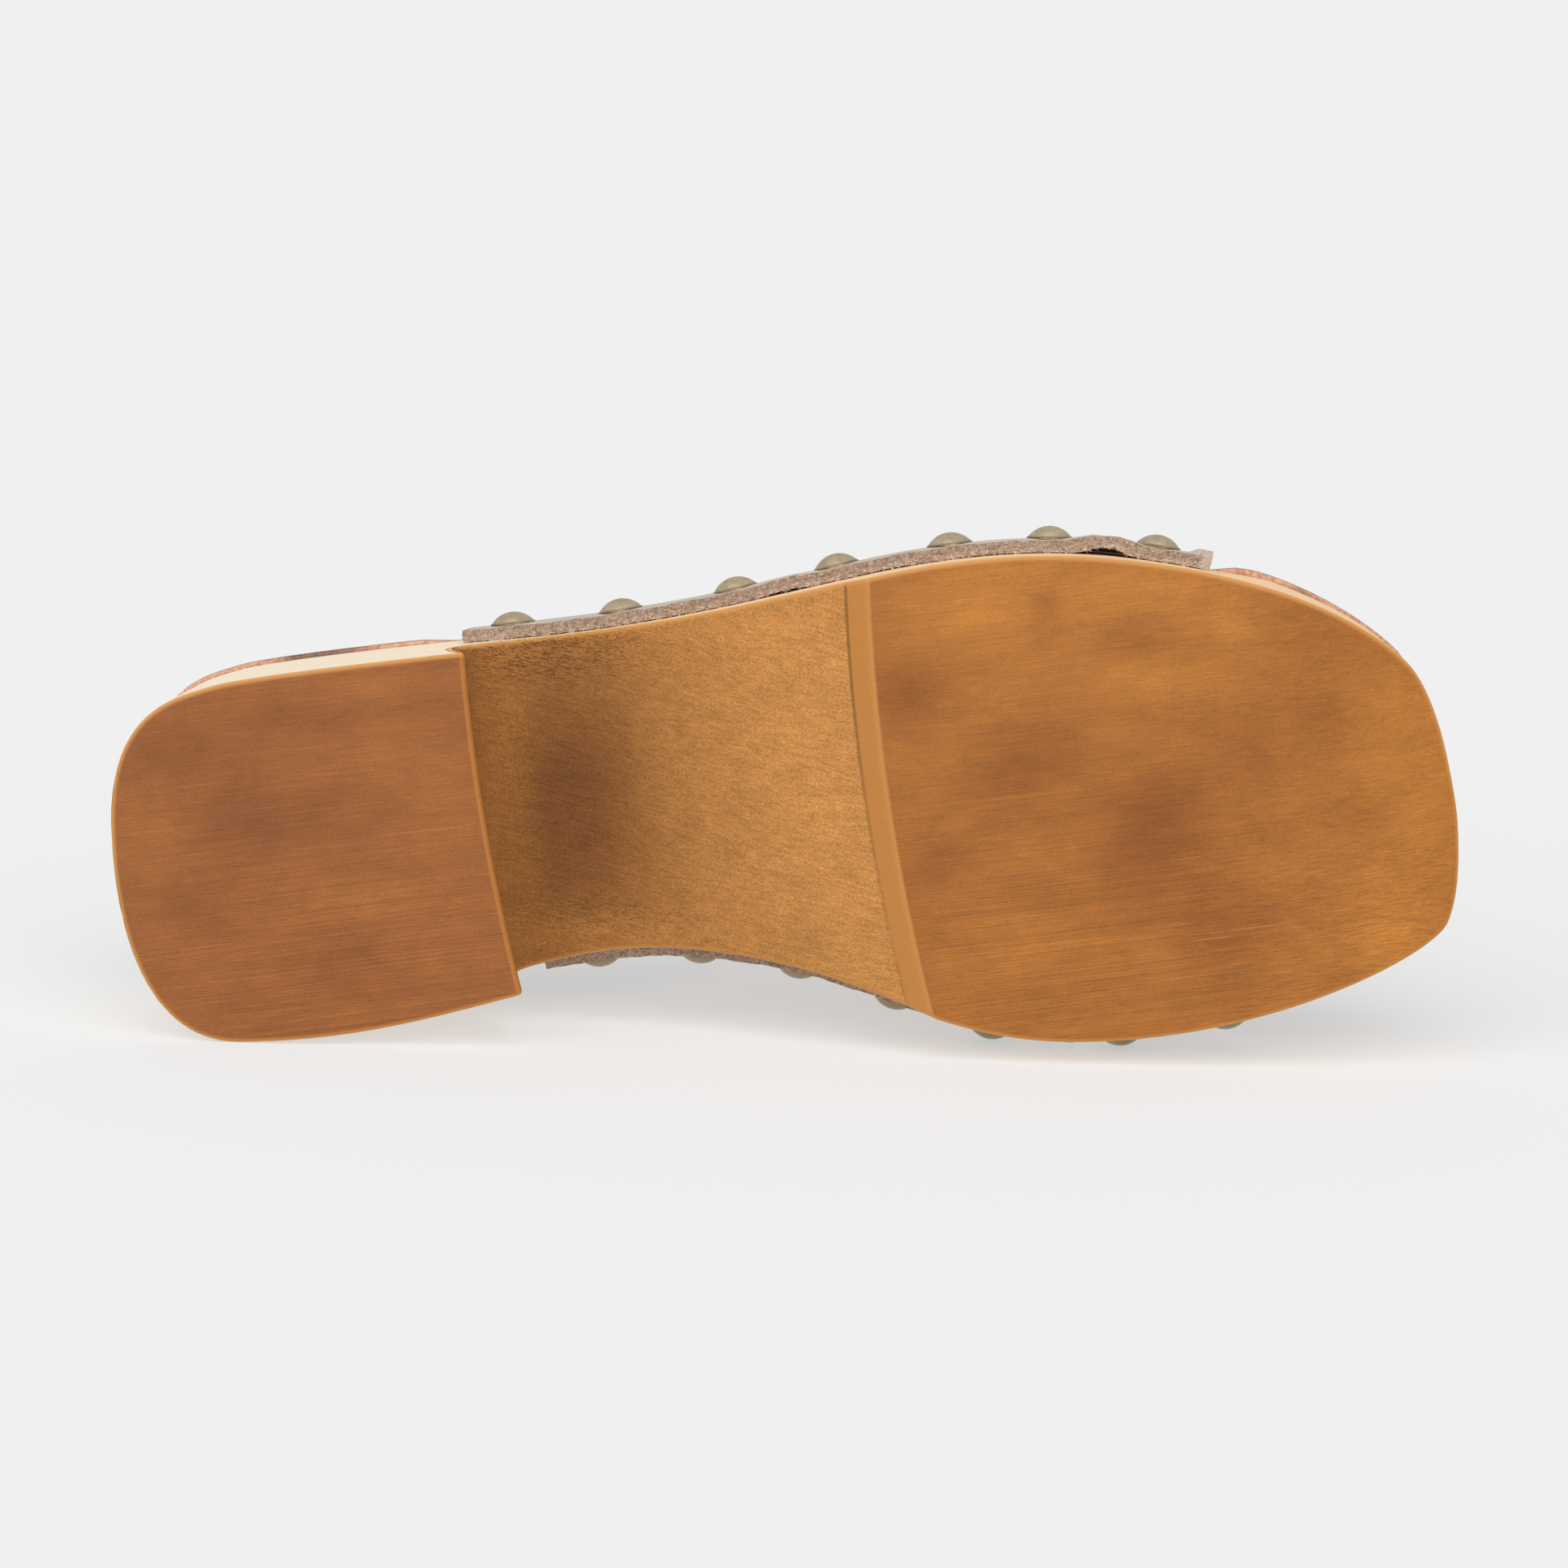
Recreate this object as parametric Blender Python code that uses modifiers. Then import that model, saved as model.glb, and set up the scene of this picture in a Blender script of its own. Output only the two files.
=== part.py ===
"""Open-toe wooden clog for the right foot, lying on its inner side with the sole upright."""

import math

import bmesh
import bpy
import numpy as np
from mathutils import Matrix, Vector

MM = 0.001

# Driving sizes of the shoe, in millimetres
LENGTH = 249.8
BALL_WIDTH = 90.0
HEEL_HEIGHT = 47.2
FOREFOOT_HEIGHT = 24.6
INSTEP = 60.0

# Wooden block
WALL_DRAFT = 0.045
TOE_DRAFT = 0.010
TOE_WALL_RUN = 12.0
TOE_WALL_SIDE = 20.0
EDGE_ROUND = 0.9
BED_ROUND = 0.6
BREAST_AT = 70.0
BREAST_UNDERCUT = 3.4
ARCH_PEAK_AT = 80.0
ARCH_RISE = 24.3
STEP_AT = 140.7
STEP_RUN = 4.2
STEP_RISE = 3.4
SPRING_FROM = 190.0
TOE_SPRING = 7.0
CROSS_SLANT_DEG = 8.8
CROSS_BOW = 2.0
BOW_CENTRE = -5.0
BOW_HALF = 38.0
SLANT = math.tan(math.radians(CROSS_SLANT_DEG))
REFERENCE_HEIGHT = 60.0

# Foot-bed from heel to toe: name, share of length, share of the drop from heel to forefoot
FOOTBED = (
    ("behind", -0.12, 1.01),
    ("seat", 0.08, 1.00),
    ("seat_end", 0.21, 0.96),
    ("shank", 0.37, 0.65),
    ("joint", 0.565, 0.115),
    ("tread", 0.725, 0.00),
    ("toe", 0.905, 0.105),
    ("ahead", 1.09, 0.37),
)

# Bottom outline anticlockwise from the heel: name, share of length, share of ball width,
# heading in degrees, reach of the curve before and after as shares of length
OUTLINE = (
    ("heel_back", 0.000, -0.080, -90.0, 0.087, 0.054),
    ("heel_medial", 0.092, -0.537, 0.0, 0.079, 0.144),
    ("waist_medial", 0.423, -0.387, 0.0, 0.109, 0.144),
    ("ball_medial", 0.713, -0.538, 0.0, 0.113, 0.134),
    ("toe_medial", 0.993, -0.299, 67.0, 0.028, 0.022),
    ("toe_tip", 1.000, -0.101, 93.0, 0.024, 0.026),
    ("toe_lateral", 0.958, 0.244, 137.0, 0.034, 0.103),
    ("ball_lateral", 0.696, 0.468, 180.0, 0.042, 0.138),
    ("waist_lateral", 0.298, 0.281, 186.0, 0.188, 0.096),
    ("heel_lateral", 0.076, 0.201, 198.0, 0.020, 0.024),
)

# Leather sheet on the foot-bed
FIT_GAP = 0.3
INSOLE_THICK = 2.4
INSOLE_OVERHANG = 0.7
INSOLE_TOE_OVERHANG = 0.5
INSOLE_INSET = 0.2
INSOLE_CLEAR = 1.5
INSOLE_RAMP = 8.0
INSOLE_ROUND = 0.4

# Leather upper, with its ends given along the shoe
LEATHER = 2.6
SKIRT = 13.0
REAR_MEDIAL = 78.5
REAR_LATERAL = 63.5
THROAT_AT = 128.0
FRONT_MEDIAL = 216.5
FRONT_LATERAL = 203.0
TOE_EDGE_AT = 196.0
COLLAR_POWER = 1.5
TOE_POWER = 0.9
JOINT_BULGE = 2.33
JOINT_AT = 172.0
JOINT_SPREAD = 48.0
UPPER_ROWS = 18
UPPER_COLUMNS = 41

# Upper sections from heel to toe: name, share of length, crown above the bed as a share of
# the instep, shift of the crown as a share of ball width, squareness
SECTIONS = (
    ("rear", 0.24, 1.12, -0.05, 2.00),
    ("throat", 0.52, 1.00, -0.06, 2.05),
    ("ball", 0.665, 0.74, -0.045, 2.25),
    ("toe", 0.80, 0.58, -0.025, 2.40),
    ("front", 0.90, 0.51, -0.02, 2.40),
)

# Domed nails, with the stations of each row from heel to toe
STUD_WIDTH = 8.6
STUD_RISE = 2.0
STUD_RIM = 0.5
STUD_ABOVE_EDGE = 6.4
STUD_ROWS = (
    ("lateral", (72.6, 93.2, 115.0, 133.9, 155.0, 173.6, 193.8)),
    ("medial", (89.2, 108.3, 126.8, 144.8, 163.0, 187.7, 207.8)),
)

# How the shoe lies: turned onto its inner side, then rocked until three places touch the floor
LIE_TILT_DEG = -1.64
LIE_ROLL_DEG = -1.61


def clear_scene():
    for item in list(bpy.data.objects):
        bpy.data.objects.remove(item, do_unlink=True)


def smooth(share, rows, column):
    """Value of a table's column at a share of the length, by a smooth curve through its rows."""
    stations = np.array([row[1] for row in rows])
    values = np.array([row[column] for row in rows])
    slopes = np.gradient(values, stations)
    i = int(np.clip(np.searchsorted(stations, share) - 1, 0, len(stations) - 2))
    span = stations[i + 1] - stations[i]
    t = min(max((share - stations[i]) / span, 0.0), 1.0)
    rise = (3.0 - 2.0 * t) * t * t
    lean = slopes[i] * t * (1.0 - t) ** 2 + slopes[i + 1] * t * t * (t - 1.0)
    return float(values[i] + (values[i + 1] - values[i]) * rise + lean * span)


def bezier(points, count):
    """Points of a cubic curve, without its last one."""
    p0, p1, p2, p3 = (np.array(p, float) for p in points)
    t = np.linspace(0.0, 1.0, count, endpoint=False)[:, None]
    s = 1.0 - t
    return s**3 * p0 + 3.0 * s * s * t * p1 + 3.0 * s * t * t * p2 + t**3 * p3


def outline(spacing):
    """Bottom outline as points and outward normals, along the shoe and across it."""
    points = []
    for here, then in zip(OUTLINE, OUTLINE[1:] + OUTLINE[:1]):
        start = np.array((here[1] * LENGTH, here[2] * BALL_WIDTH))
        end = np.array((then[1] * LENGTH, then[2] * BALL_WIDTH))
        turn = math.radians(here[3])
        turn_end = math.radians(then[3])
        ahead = np.array((math.cos(turn), math.sin(turn))) * here[5] * LENGTH
        behind = np.array((math.cos(turn_end), math.sin(turn_end))) * then[4] * LENGTH
        count = max(4, round(float(np.linalg.norm(end - start)) / spacing))
        points.append(bezier((start, start + ahead, end - behind, end), count))
    points = np.vstack(points)
    along = np.roll(points, -1, axis=0) - np.roll(points, 1, axis=0)
    along /= np.linalg.norm(along, axis=1)[:, None]
    return points, np.stack((along[:, 1], -along[:, 0]), axis=1)


FINE_POINTS, FINE_NORMALS = outline(1.0)
TOE_INDEX = int(FINE_POINTS[:, 0].argmax())


def edge(side, along, offset):
    """Distance across of the block's wall on one side, moved outward by an offset."""
    moved = FINE_POINTS + FINE_NORMALS * offset
    if side == "medial":
        chain = moved[1:TOE_INDEX]
    else:
        chain = moved[TOE_INDEX + 1:][::-1]
    return float(np.interp(along, chain[:, 0], chain[:, 1]))


def draft_at(along, across):
    """Inward lean of the side wall at points of the plan, less at the outer side of the toe."""
    ahead = np.clip((along - FRONT_LATERAL) / TOE_WALL_RUN, 0.0, 1.0)
    share = ahead * np.clip(across / TOE_WALL_SIDE, 0.0, 1.0)
    return WALL_DRAFT + (TOE_DRAFT - WALL_DRAFT) * (3.0 - 2.0 * share) * share**2


def bow(across):
    """How far lines across the sole curve back toward the heel."""
    return -CROSS_BOW * (1.0 - ((across - BOW_CENTRE) / BOW_HALF) ** 2)


def bed_line(station):
    """Height of the wooden foot-bed at a station of the side view."""
    drop = smooth(station / LENGTH, FOOTBED, 2)
    return FOREFOOT_HEIGHT + drop * (HEEL_HEIGHT - FOREFOOT_HEIGHT)


def bed(along, across):
    """Height of the wooden foot-bed at a point of the plan."""
    return bed_line(along + across * SLANT - bow(across))


def end_rows(start, stop, count):
    """Stations that crowd together at the start, where an outline rounds off."""
    turns = np.linspace(0.0, 0.5 * math.pi, count)
    return start + (stop - start) * (1.0 - np.cos(turns))


def block_rows(heel, toe):
    """Bottom line of the block from heel to toe, and the foot-bed station above each point."""
    breast = (
        (BREAST_AT - 0.1, EDGE_ROUND),
        (BREAST_AT - 2.1 * BREAST_UNDERCUT, 0.90 * ARCH_RISE),
        (BREAST_AT - 1.6 * BREAST_UNDERCUT, 1.06 * ARCH_RISE),
        (ARCH_PEAK_AT, ARCH_RISE),
    )
    arch = (
        (ARCH_PEAK_AT, ARCH_RISE),
        (ARCH_PEAK_AT + 20.0, 0.95 * ARCH_RISE),
        (STEP_AT - 22.0, STEP_RISE + 5.1),
        (STEP_AT, STEP_RISE),
    )
    line = [(s, 0.0) for s in end_rows(heel, BREAST_AT - EDGE_ROUND, 14)]
    line.insert(1, (heel + 0.12 * EDGE_ROUND, 0.0))
    line.append((BREAST_AT - 0.3 * EDGE_ROUND, 0.3 * EDGE_ROUND))
    corner = len(line)
    line += bezier(breast, 9).tolist()
    peak = len(line)
    line += bezier(arch, 11).tolist()
    tread = STEP_AT + STEP_RUN
    line += [(STEP_AT, STEP_RISE), (tread - 0.5, 0.4), (tread + 0.6, 0.0)]
    line += [(s, 0.0) for s in np.linspace(tread + 0.6, SPRING_FROM, 6)[1:]]
    spring = np.insert(end_rows(toe, SPRING_FROM, 15), 1, toe - 0.12 * EDGE_ROUND)
    for s in spring[-2::-1]:
        share = (s - SPRING_FROM) / (LENGTH - SPRING_FROM)
        line.append((s, TOE_SPRING * share**2))
    line = np.array(line)
    travel = np.concatenate(((0.0,), np.cumsum(np.hypot(*np.diff(line, axis=0).T))))
    marks = (0.0, 35.0 - heel, travel[corner], travel[peak], travel[-1])
    over = np.interp(travel, marks, (heel, 35.0, BREAST_AT - 15.0, ARCH_PEAK_AT, toe))
    return line, over


def rails(offset):
    """Inner and outer side of the outline moved outward, with their shares of the way to the toe."""
    moved = FINE_POINTS + FINE_NORMALS * np.reshape(offset, (-1, 1))
    station = moved[:, 0] + moved[:, 1] * SLANT - bow(moved[:, 1])
    heel = int(station.argmin())
    toe = (int(station.argmax()) - heel) % len(moved)
    moved = np.roll(moved, -heel, axis=0)
    station = np.roll(station, -heel)
    share = (station - station[0]) / (station[toe] - station[0])
    inner = (share[:toe + 1], moved[:toe + 1])
    outer = (np.append(share[toe:], 0.0)[::-1], np.vstack((moved[toe:], moved[:1]))[::-1])
    return inner, outer, station[0], station[toe]


def on_wall(low, high, side, share, height):
    """Points of a side wall, between the outline at the floor and at the reference height."""
    lift = np.reshape(height / REFERENCE_HEIGHT, (-1, 1))
    ends = []
    for shares, points in (low[side], high[side]):
        ends.append(np.stack([np.interp(share, shares, points[:, k]) for k in (0, 1)], axis=1))
    return ends[0] * (1.0 - lift) + ends[1] * lift


def face_rows(low, high, lean, station, height, inward, radius):
    """One face of a slab as rows of points from the inner to the outer side, rounded at its rim."""
    share = (station - low[2]) / (low[3] - low[2])
    inner = on_wall(low, high, 0, share, height)
    outer = on_wall(low, high, 1, share, height)
    width = np.maximum(np.linalg.norm(outer - inner, axis=1), 1e-6)
    steps = np.array((0.0, 0.12, 0.4, 1.0)) * (np.minimum(radius, 0.2 * width) / width)[:, None]
    middle = np.tile((0.3, 0.5, 0.7), (len(station), 1))
    shares = np.concatenate((steps, middle, 1.0 - steps[:, ::-1]), axis=1)
    v = inner[:, 1:] + (outer - inner)[:, 1:] * shares
    x = inner[:, :1] + (inner[:, 1:] - v) * SLANT + bow(v) - bow(inner[:, 1:])
    rim = np.vstack((low[0][1], low[1][1]))
    depth = np.zeros_like(x)
    for i in range(len(station)):
        reach = np.hypot(x[i][:, None] - rim[:, 0], v[i][:, None] - rim[:, 1]).min(axis=1)
        reach -= lean * draft_at(x[i], v[i]) * height[i]
        depth[i, 1:-1] = np.clip(reach, 0.0, radius)[1:-1]
    dip = radius - np.sqrt(np.maximum(radius**2 - (radius - depth) ** 2, 0.0))
    return np.stack((x + inward[:, :1] * dip, v, height[:, None] + inward[:, 1:] * dip), axis=2)


def slab(name, low, high, lean, line, top, radii, collection):
    """Solid between a bottom line and a top line of the side view, inside the outline."""
    along = np.gradient(line, axis=0)
    along /= np.linalg.norm(along, axis=1)[:, None]
    inward = np.stack((-along[:, 1], along[:, 0]), axis=1)
    down = np.tile((0.0, -1.0), (len(line), 1))
    bottom = face_rows(low, high, lean, line[:, 0], line[:, 1], inward, radii[0])
    lid = face_rows(low, high, lean, top[:, 0], top[:, 1], down, radii[1])
    walls = []
    for side, end in ((1, -1), (0, 0)):
        for lift in (0.33, 0.67):
            station = line[:, 0] + (top[:, 0] - line[:, 0]) * lift
            height = bottom[:, end, 2] + (lid[:, end, 2] - bottom[:, end, 2]) * lift
            share = (station - low[2]) / (low[3] - low[2])
            plan = on_wall(low, high, side, share, height)
            walls.append(np.concatenate((plan, height[:, None]), axis=1)[:, None])
    rings = np.concatenate((bottom, *walls[:2], lid[:, ::-1], *walls[:1:-1]), axis=1)
    mesh = bmesh.new()
    rows = [[mesh.verts.new((x * MM, -v * MM, z * MM)) for x, v, z in ring] for ring in rings]
    for near, far in zip(rows, rows[1:]):
        for i in range(len(near)):
            mesh.faces.new((near[i - 1], near[i], far[i], far[i - 1]))
    bmesh.ops.remove_doubles(mesh, verts=mesh.verts, dist=0.02 * MM)
    bmesh.ops.dissolve_degenerate(mesh, edges=mesh.edges, dist=0.01 * MM)
    bmesh.ops.recalc_face_normals(mesh, faces=mesh.faces)
    return add_object(name, mesh, collection)


def make_block(collection):
    """Wooden block between its bottom line and the foot-bed, with drafted walls."""
    low = rails(0.0)
    high = rails(-draft_at(*FINE_POINTS.T) * REFERENCE_HEIGHT)
    line, over = block_rows(low[2], low[3])
    top = np.array([(s, bed_line(s)) for s in over])
    radii = (EDGE_ROUND, BED_ROUND)
    return slab("wooden_sole", low, high, 1.0, line, top, radii, collection)


def make_insole(collection):
    """Leather sheet, proud of the block at the open heel and toe and set in under the upper."""
    offsets = []
    for along, across in FINE_POINTS:
        ends = (REAR_LATERAL, FRONT_LATERAL) if across > 0.0 else (REAR_MEDIAL, FRONT_MEDIAL)
        rear = np.clip((ends[0] - INSOLE_CLEAR - along) / INSOLE_RAMP, 0.0, 1.0)
        front = np.clip((along - ends[1] - INSOLE_CLEAR) / INSOLE_RAMP, 0.0, 1.0)
        reach = -INSOLE_INSET + (INSOLE_OVERHANG + INSOLE_INSET) * rear
        reach += (INSOLE_TOE_OVERHANG + INSOLE_INSET) * front
        offsets.append(reach - draft_at(along, across) * bed(along, across))
    low = rails(offsets)
    heel, toe = low[2], low[3]
    half = 0.5 * (heel + toe)
    stations = np.append(end_rows(heel, half, 18), end_rows(toe, half, 18)[-2::-1])
    line = np.array([(s, bed_line(s) + FIT_GAP) for s in stations])
    top = line + np.array((0.0, INSOLE_THICK))
    return slab("insole", low, low, 0.0, line, top, (INSOLE_ROUND, INSOLE_ROUND), collection)


def add_object(name, mesh, collection):
    data = bpy.data.meshes.new(name)
    mesh.to_mesh(data)
    mesh.free()
    item = bpy.data.objects.new(name, data)
    collection.objects.link(item)
    return item


def section(along, count):
    """Inner line of the upper over the foot at one station, as even steps across and up."""
    share = along / LENGTH
    crown = INSTEP * smooth(share, SECTIONS, 2)
    shift = BALL_WIDTH * smooth(share, SECTIONS, 3)
    power = 2.0 / smooth(share, SECTIONS, 4)
    skirts = {}
    for side in ("medial", "lateral"):
        rim = bed(along, edge(side, along, 0.0))
        heights = np.linspace(rim - SKIRT, rim, 8)
        skirts[side] = [(edge(side, along, FIT_GAP - WALL_DRAFT * h), h) for h in heights]
    medial = skirts["medial"][-1]
    lateral = skirts["lateral"][-1]
    middle = 0.5 * (medial[0] + lateral[0]) + shift
    top = bed(along, middle) + INSOLE_THICK + crown
    swell = JOINT_BULGE * math.exp(-(((along - JOINT_AT) / JOINT_SPREAD) ** 2))
    line = skirts["medial"][:-1]
    for turn in np.linspace(0.0, math.pi, 81):
        across, rim = medial if turn < 0.5 * math.pi else lateral
        wide = abs(math.cos(turn)) ** power
        high = math.sin(turn) ** power
        v = middle + (across - middle) * wide
        if across < middle:
            v -= swell * math.sin(math.pi * min(high, 1.0) ** 0.6) ** 2
        line.append((v, rim + (top - rim) * high))
    line = np.array(line + skirts["lateral"][::-1][1:])
    lengths = np.linalg.norm(np.diff(line, axis=0), axis=1)
    travel = np.concatenate(((0.0,), np.cumsum(lengths)))
    steps = np.linspace(0.0, travel[-1], count)
    return np.stack((np.interp(steps, travel, line[:, 0]), np.interp(steps, travel, line[:, 1])), axis=1)


def upper_ends(share):
    """Stations of the collar edge and the toe edge at a share of the way over the foot."""
    swing = math.sin(math.pi * share)
    rear = REAR_MEDIAL + (REAR_LATERAL - REAR_MEDIAL) * share
    front = FRONT_MEDIAL + (FRONT_LATERAL - FRONT_MEDIAL) * share
    rear += (THROAT_AT - 0.5 * (REAR_MEDIAL + REAR_LATERAL)) * swing**COLLAR_POWER
    front += (TOE_EDGE_AT - 0.5 * (FRONT_MEDIAL + FRONT_LATERAL)) * swing**TOE_POWER
    return rear, front


def make_upper(collection):
    """Leather vamp as one sheet, thickened outward."""
    stations = np.linspace(REAR_LATERAL - 2.0, FRONT_MEDIAL + 2.0, 60)
    lines = np.array([section(float(along), UPPER_COLUMNS) for along in stations])
    mesh = bmesh.new()
    grid = []
    for i, share in enumerate(np.linspace(0.0, 1.0, UPPER_COLUMNS)):
        rear, front = upper_ends(float(share))
        column = []
        for along in np.linspace(rear, front, UPPER_ROWS):
            v = np.interp(along, stations, lines[:, i, 0])
            z = np.interp(along, stations, lines[:, i, 1])
            column.append(mesh.verts.new((along * MM, -v * MM, z * MM)))
        grid.append(column)
    for left, right in zip(grid, grid[1:]):
        for i in range(UPPER_ROWS - 1):
            mesh.faces.new((left[i], left[i + 1], right[i + 1], right[i]))
    mesh.normal_update()
    if grid[UPPER_COLUMNS // 2][UPPER_ROWS // 2].normal.z < 0.0:
        bmesh.ops.reverse_faces(mesh, faces=mesh.faces)
    item = add_object("upper", mesh, collection)
    skin = item.modifiers.new("Leather", "SOLIDIFY")
    skin.thickness = LEATHER * MM
    skin.offset = 1.0
    skin.use_even_offset = True
    skin.use_quality_normals = True
    return item


def make_stud(name, side, along, collection):
    """Domed nail head, turned about its own axis and set on the leather."""
    height = bed(along, edge(side, along, 0.0)) - SKIRT + STUD_ABOVE_EDGE
    face = FIT_GAP + LEATHER + FIT_GAP - WALL_DRAFT * height
    half = 0.5 * STUD_WIDTH
    dome = STUD_RISE - STUD_RIM
    radius = (half * half + dome * dome) / (2.0 * dome)
    line = [(0.0, 0.0), (half, 0.0)]
    for turn in np.linspace(math.asin(half / radius), 0.0, 6):
        line.append((radius * math.sin(turn), STUD_RISE - radius * (1.0 - math.cos(turn))))
    mesh = bmesh.new()
    points = [mesh.verts.new((r * MM, 0.0, z * MM)) for r, z in line]
    for first, second in zip(points, points[1:]):
        mesh.edges.new((first, second))
    item = add_object(name, mesh, collection)
    turned = item.modifiers.new("Turned", "SCREW")
    turned.steps = 20
    turned.render_steps = 20
    turned.use_merge_vertices = True
    turned.merge_threshold = 0.00001
    turned.use_normal_calculate = True
    facing = 1.0 if side == "lateral" else -1.0
    climb = edge(side, along + 2.0, face) - edge(side, along - 2.0, face)
    outward = Vector((-climb * facing, -4.0 * facing, 4.0 * WALL_DRAFT))
    place = Vector((along * MM, -edge(side, along, face) * MM, height * MM))
    turn = outward.to_track_quat("Z", "Y").to_matrix().to_4x4()
    item.matrix_local = Matrix.Translation(place) @ turn
    return item


def paint(item, slot, colour, roughness, metallic):
    material = bpy.data.materials.get(slot)
    if material is None:
        material = bpy.data.materials.new(slot)
        material.use_nodes = True
        shader = material.node_tree.nodes["Principled BSDF"]
        shader.inputs["Base Color"].default_value = (*colour, 1.0)
        shader.inputs["Roughness"].default_value = roughness
        shader.inputs["Metallic"].default_value = metallic
    item.data.materials.clear()
    item.data.materials.append(material)


def lay_down(items, collection):
    """Lay the shoe on its inner side, with the middle of its footprint at the origin."""
    rest = bpy.data.objects.new("rest", None)
    collection.objects.link(rest)
    turn = Matrix.Rotation(math.radians(-90.0 + LIE_TILT_DEG), 4, "X")
    pose = Matrix.Rotation(math.radians(LIE_ROLL_DEG), 4, "Y") @ turn
    for item in items:
        item.parent = rest
    rest.matrix_world = pose
    bpy.context.view_layer.update()
    graph = bpy.context.evaluated_depsgraph_get()
    corners = []
    for item in items:
        solid = item.evaluated_get(graph)
        corners += [solid.matrix_world @ point.co for point in solid.data.vertices]
    corners = np.array(corners)
    low = corners.min(axis=0)
    high = corners.max(axis=0)
    shift = Vector((-0.5 * (low[0] + high[0]), -0.5 * (low[1] + high[1]), -low[2]))
    rest.matrix_world = Matrix.Translation(shift) @ pose


def build():
    clear_scene()
    shoe = bpy.data.collections.new("wooden_clog")
    bpy.context.scene.collection.children.link(shoe)

    # Wooden block
    sole = make_block(shoe)
    paint(sole, "wood", (0.45, 0.20, 0.06), 0.55, 0.0)

    # Leather sheet on the foot-bed
    insole = make_insole(shoe)
    paint(insole, "insole_leather", (0.42, 0.14, 0.06), 0.6, 0.0)

    # Leather upper
    upper = make_upper(shoe)
    paint(upper, "upper_leather", (0.50, 0.40, 0.30), 0.6, 0.0)

    # Domed nails
    studs = []
    for side, stations in STUD_ROWS:
        for number, along in enumerate(stations, 1):
            stud = make_stud(f"stud_{side}_{number}", side, along, shoe)
            paint(stud, "stud_metal", (0.60, 0.50, 0.34), 0.38, 1.0)
            studs.append(stud)

    # Shading and rest
    items = (sole, insole, upper, *studs)
    for item in items:
        for polygon in item.data.polygons:
            polygon.use_smooth = True
        item.data.set_sharp_from_angle(angle=math.radians(35.0))
    lay_down(items, shoe)


build()
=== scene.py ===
"""Looks of the open-toe wooden clog: fine surfaces and finishes, with floor, light and camera."""

import math

import bmesh
import bpy
import numpy as np
from mathutils import Matrix, Vector


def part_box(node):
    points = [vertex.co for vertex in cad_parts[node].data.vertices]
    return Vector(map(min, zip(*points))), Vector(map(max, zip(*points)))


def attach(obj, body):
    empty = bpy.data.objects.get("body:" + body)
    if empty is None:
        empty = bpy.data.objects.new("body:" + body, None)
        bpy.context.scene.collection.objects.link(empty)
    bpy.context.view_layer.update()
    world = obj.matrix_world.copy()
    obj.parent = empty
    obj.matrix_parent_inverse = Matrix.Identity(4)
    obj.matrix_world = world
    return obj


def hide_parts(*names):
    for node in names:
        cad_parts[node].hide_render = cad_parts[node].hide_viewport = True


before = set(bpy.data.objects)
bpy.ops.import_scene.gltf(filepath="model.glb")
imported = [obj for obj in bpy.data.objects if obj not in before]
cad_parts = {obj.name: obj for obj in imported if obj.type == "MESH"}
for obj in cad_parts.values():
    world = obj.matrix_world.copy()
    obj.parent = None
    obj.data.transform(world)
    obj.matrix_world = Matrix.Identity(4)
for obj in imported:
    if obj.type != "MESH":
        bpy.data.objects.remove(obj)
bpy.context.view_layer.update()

MM = 0.001

# Driving sizes of the shoe, in millimetres, as in the solids
LENGTH = 249.8
BALL_WIDTH = 90.0
HEEL_HEIGHT = 47.2
FOREFOOT_HEIGHT = 24.6
INSTEP = 60.0

# Wooden block
WALL_DRAFT = 0.045
TOE_DRAFT = 0.010
TOE_WALL_RUN = 12.0
TOE_WALL_SIDE = 20.0
EDGE_ROUND = 0.9
BED_ROUND = 0.6
SEAT_AT = 35.0
BREAST_AT = 70.0
BREAST_UNDERCUT = 3.4
ARCH_PEAK_AT = 80.0
ARCH_RISE = 24.3
STEP_AT = 140.7
STEP_RUN = 4.2
STEP_RISE = 3.4
GROOVE_HALF = 0.35
GROOVE_DEPTH = 0.1
SPRING_FROM = 190.0
TOE_SPRING = 7.0
SLANT = math.tan(math.radians(8.8))
CROSS_BOW = 2.0
BOW_CENTRE = -5.0
BOW_HALF = 38.0
REFERENCE_HEIGHT = 60.0

# Inner points of the bottom line's curves. Breast: back in undercuts and up in arch rises. Arch: ahead
# of its peak and up in arch rises, then back from the step and up
BREAST_LOW = (2.1, 0.90)
BREAST_HIGH = (1.6, 1.06)
ARCH_AHEAD = (20.0, 0.95)
ARCH_BEHIND = (22.0, 5.1)
BREAST_START = 0.1
BREAST_LEAD = 15.0

# Rounded edge of the forefoot tread: distance ahead of the edge and height, from the step's face
TREAD_EDGE = ((-0.9, 0.62), (-0.4, 0.27), (0.2, 0.07), (0.9, 0.0))
FACE_DROP = 0.2

# Foot-bed from heel to toe: name, share of length, share of the drop from heel to forefoot
FOOTBED = (
    ("behind", -0.12, 1.01),
    ("seat", 0.08, 1.00),
    ("seat_end", 0.21, 0.96),
    ("shank", 0.37, 0.65),
    ("joint", 0.565, 0.115),
    ("tread", 0.725, 0.00),
    ("toe", 0.905, 0.105),
    ("ahead", 1.09, 0.37),
)

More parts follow.
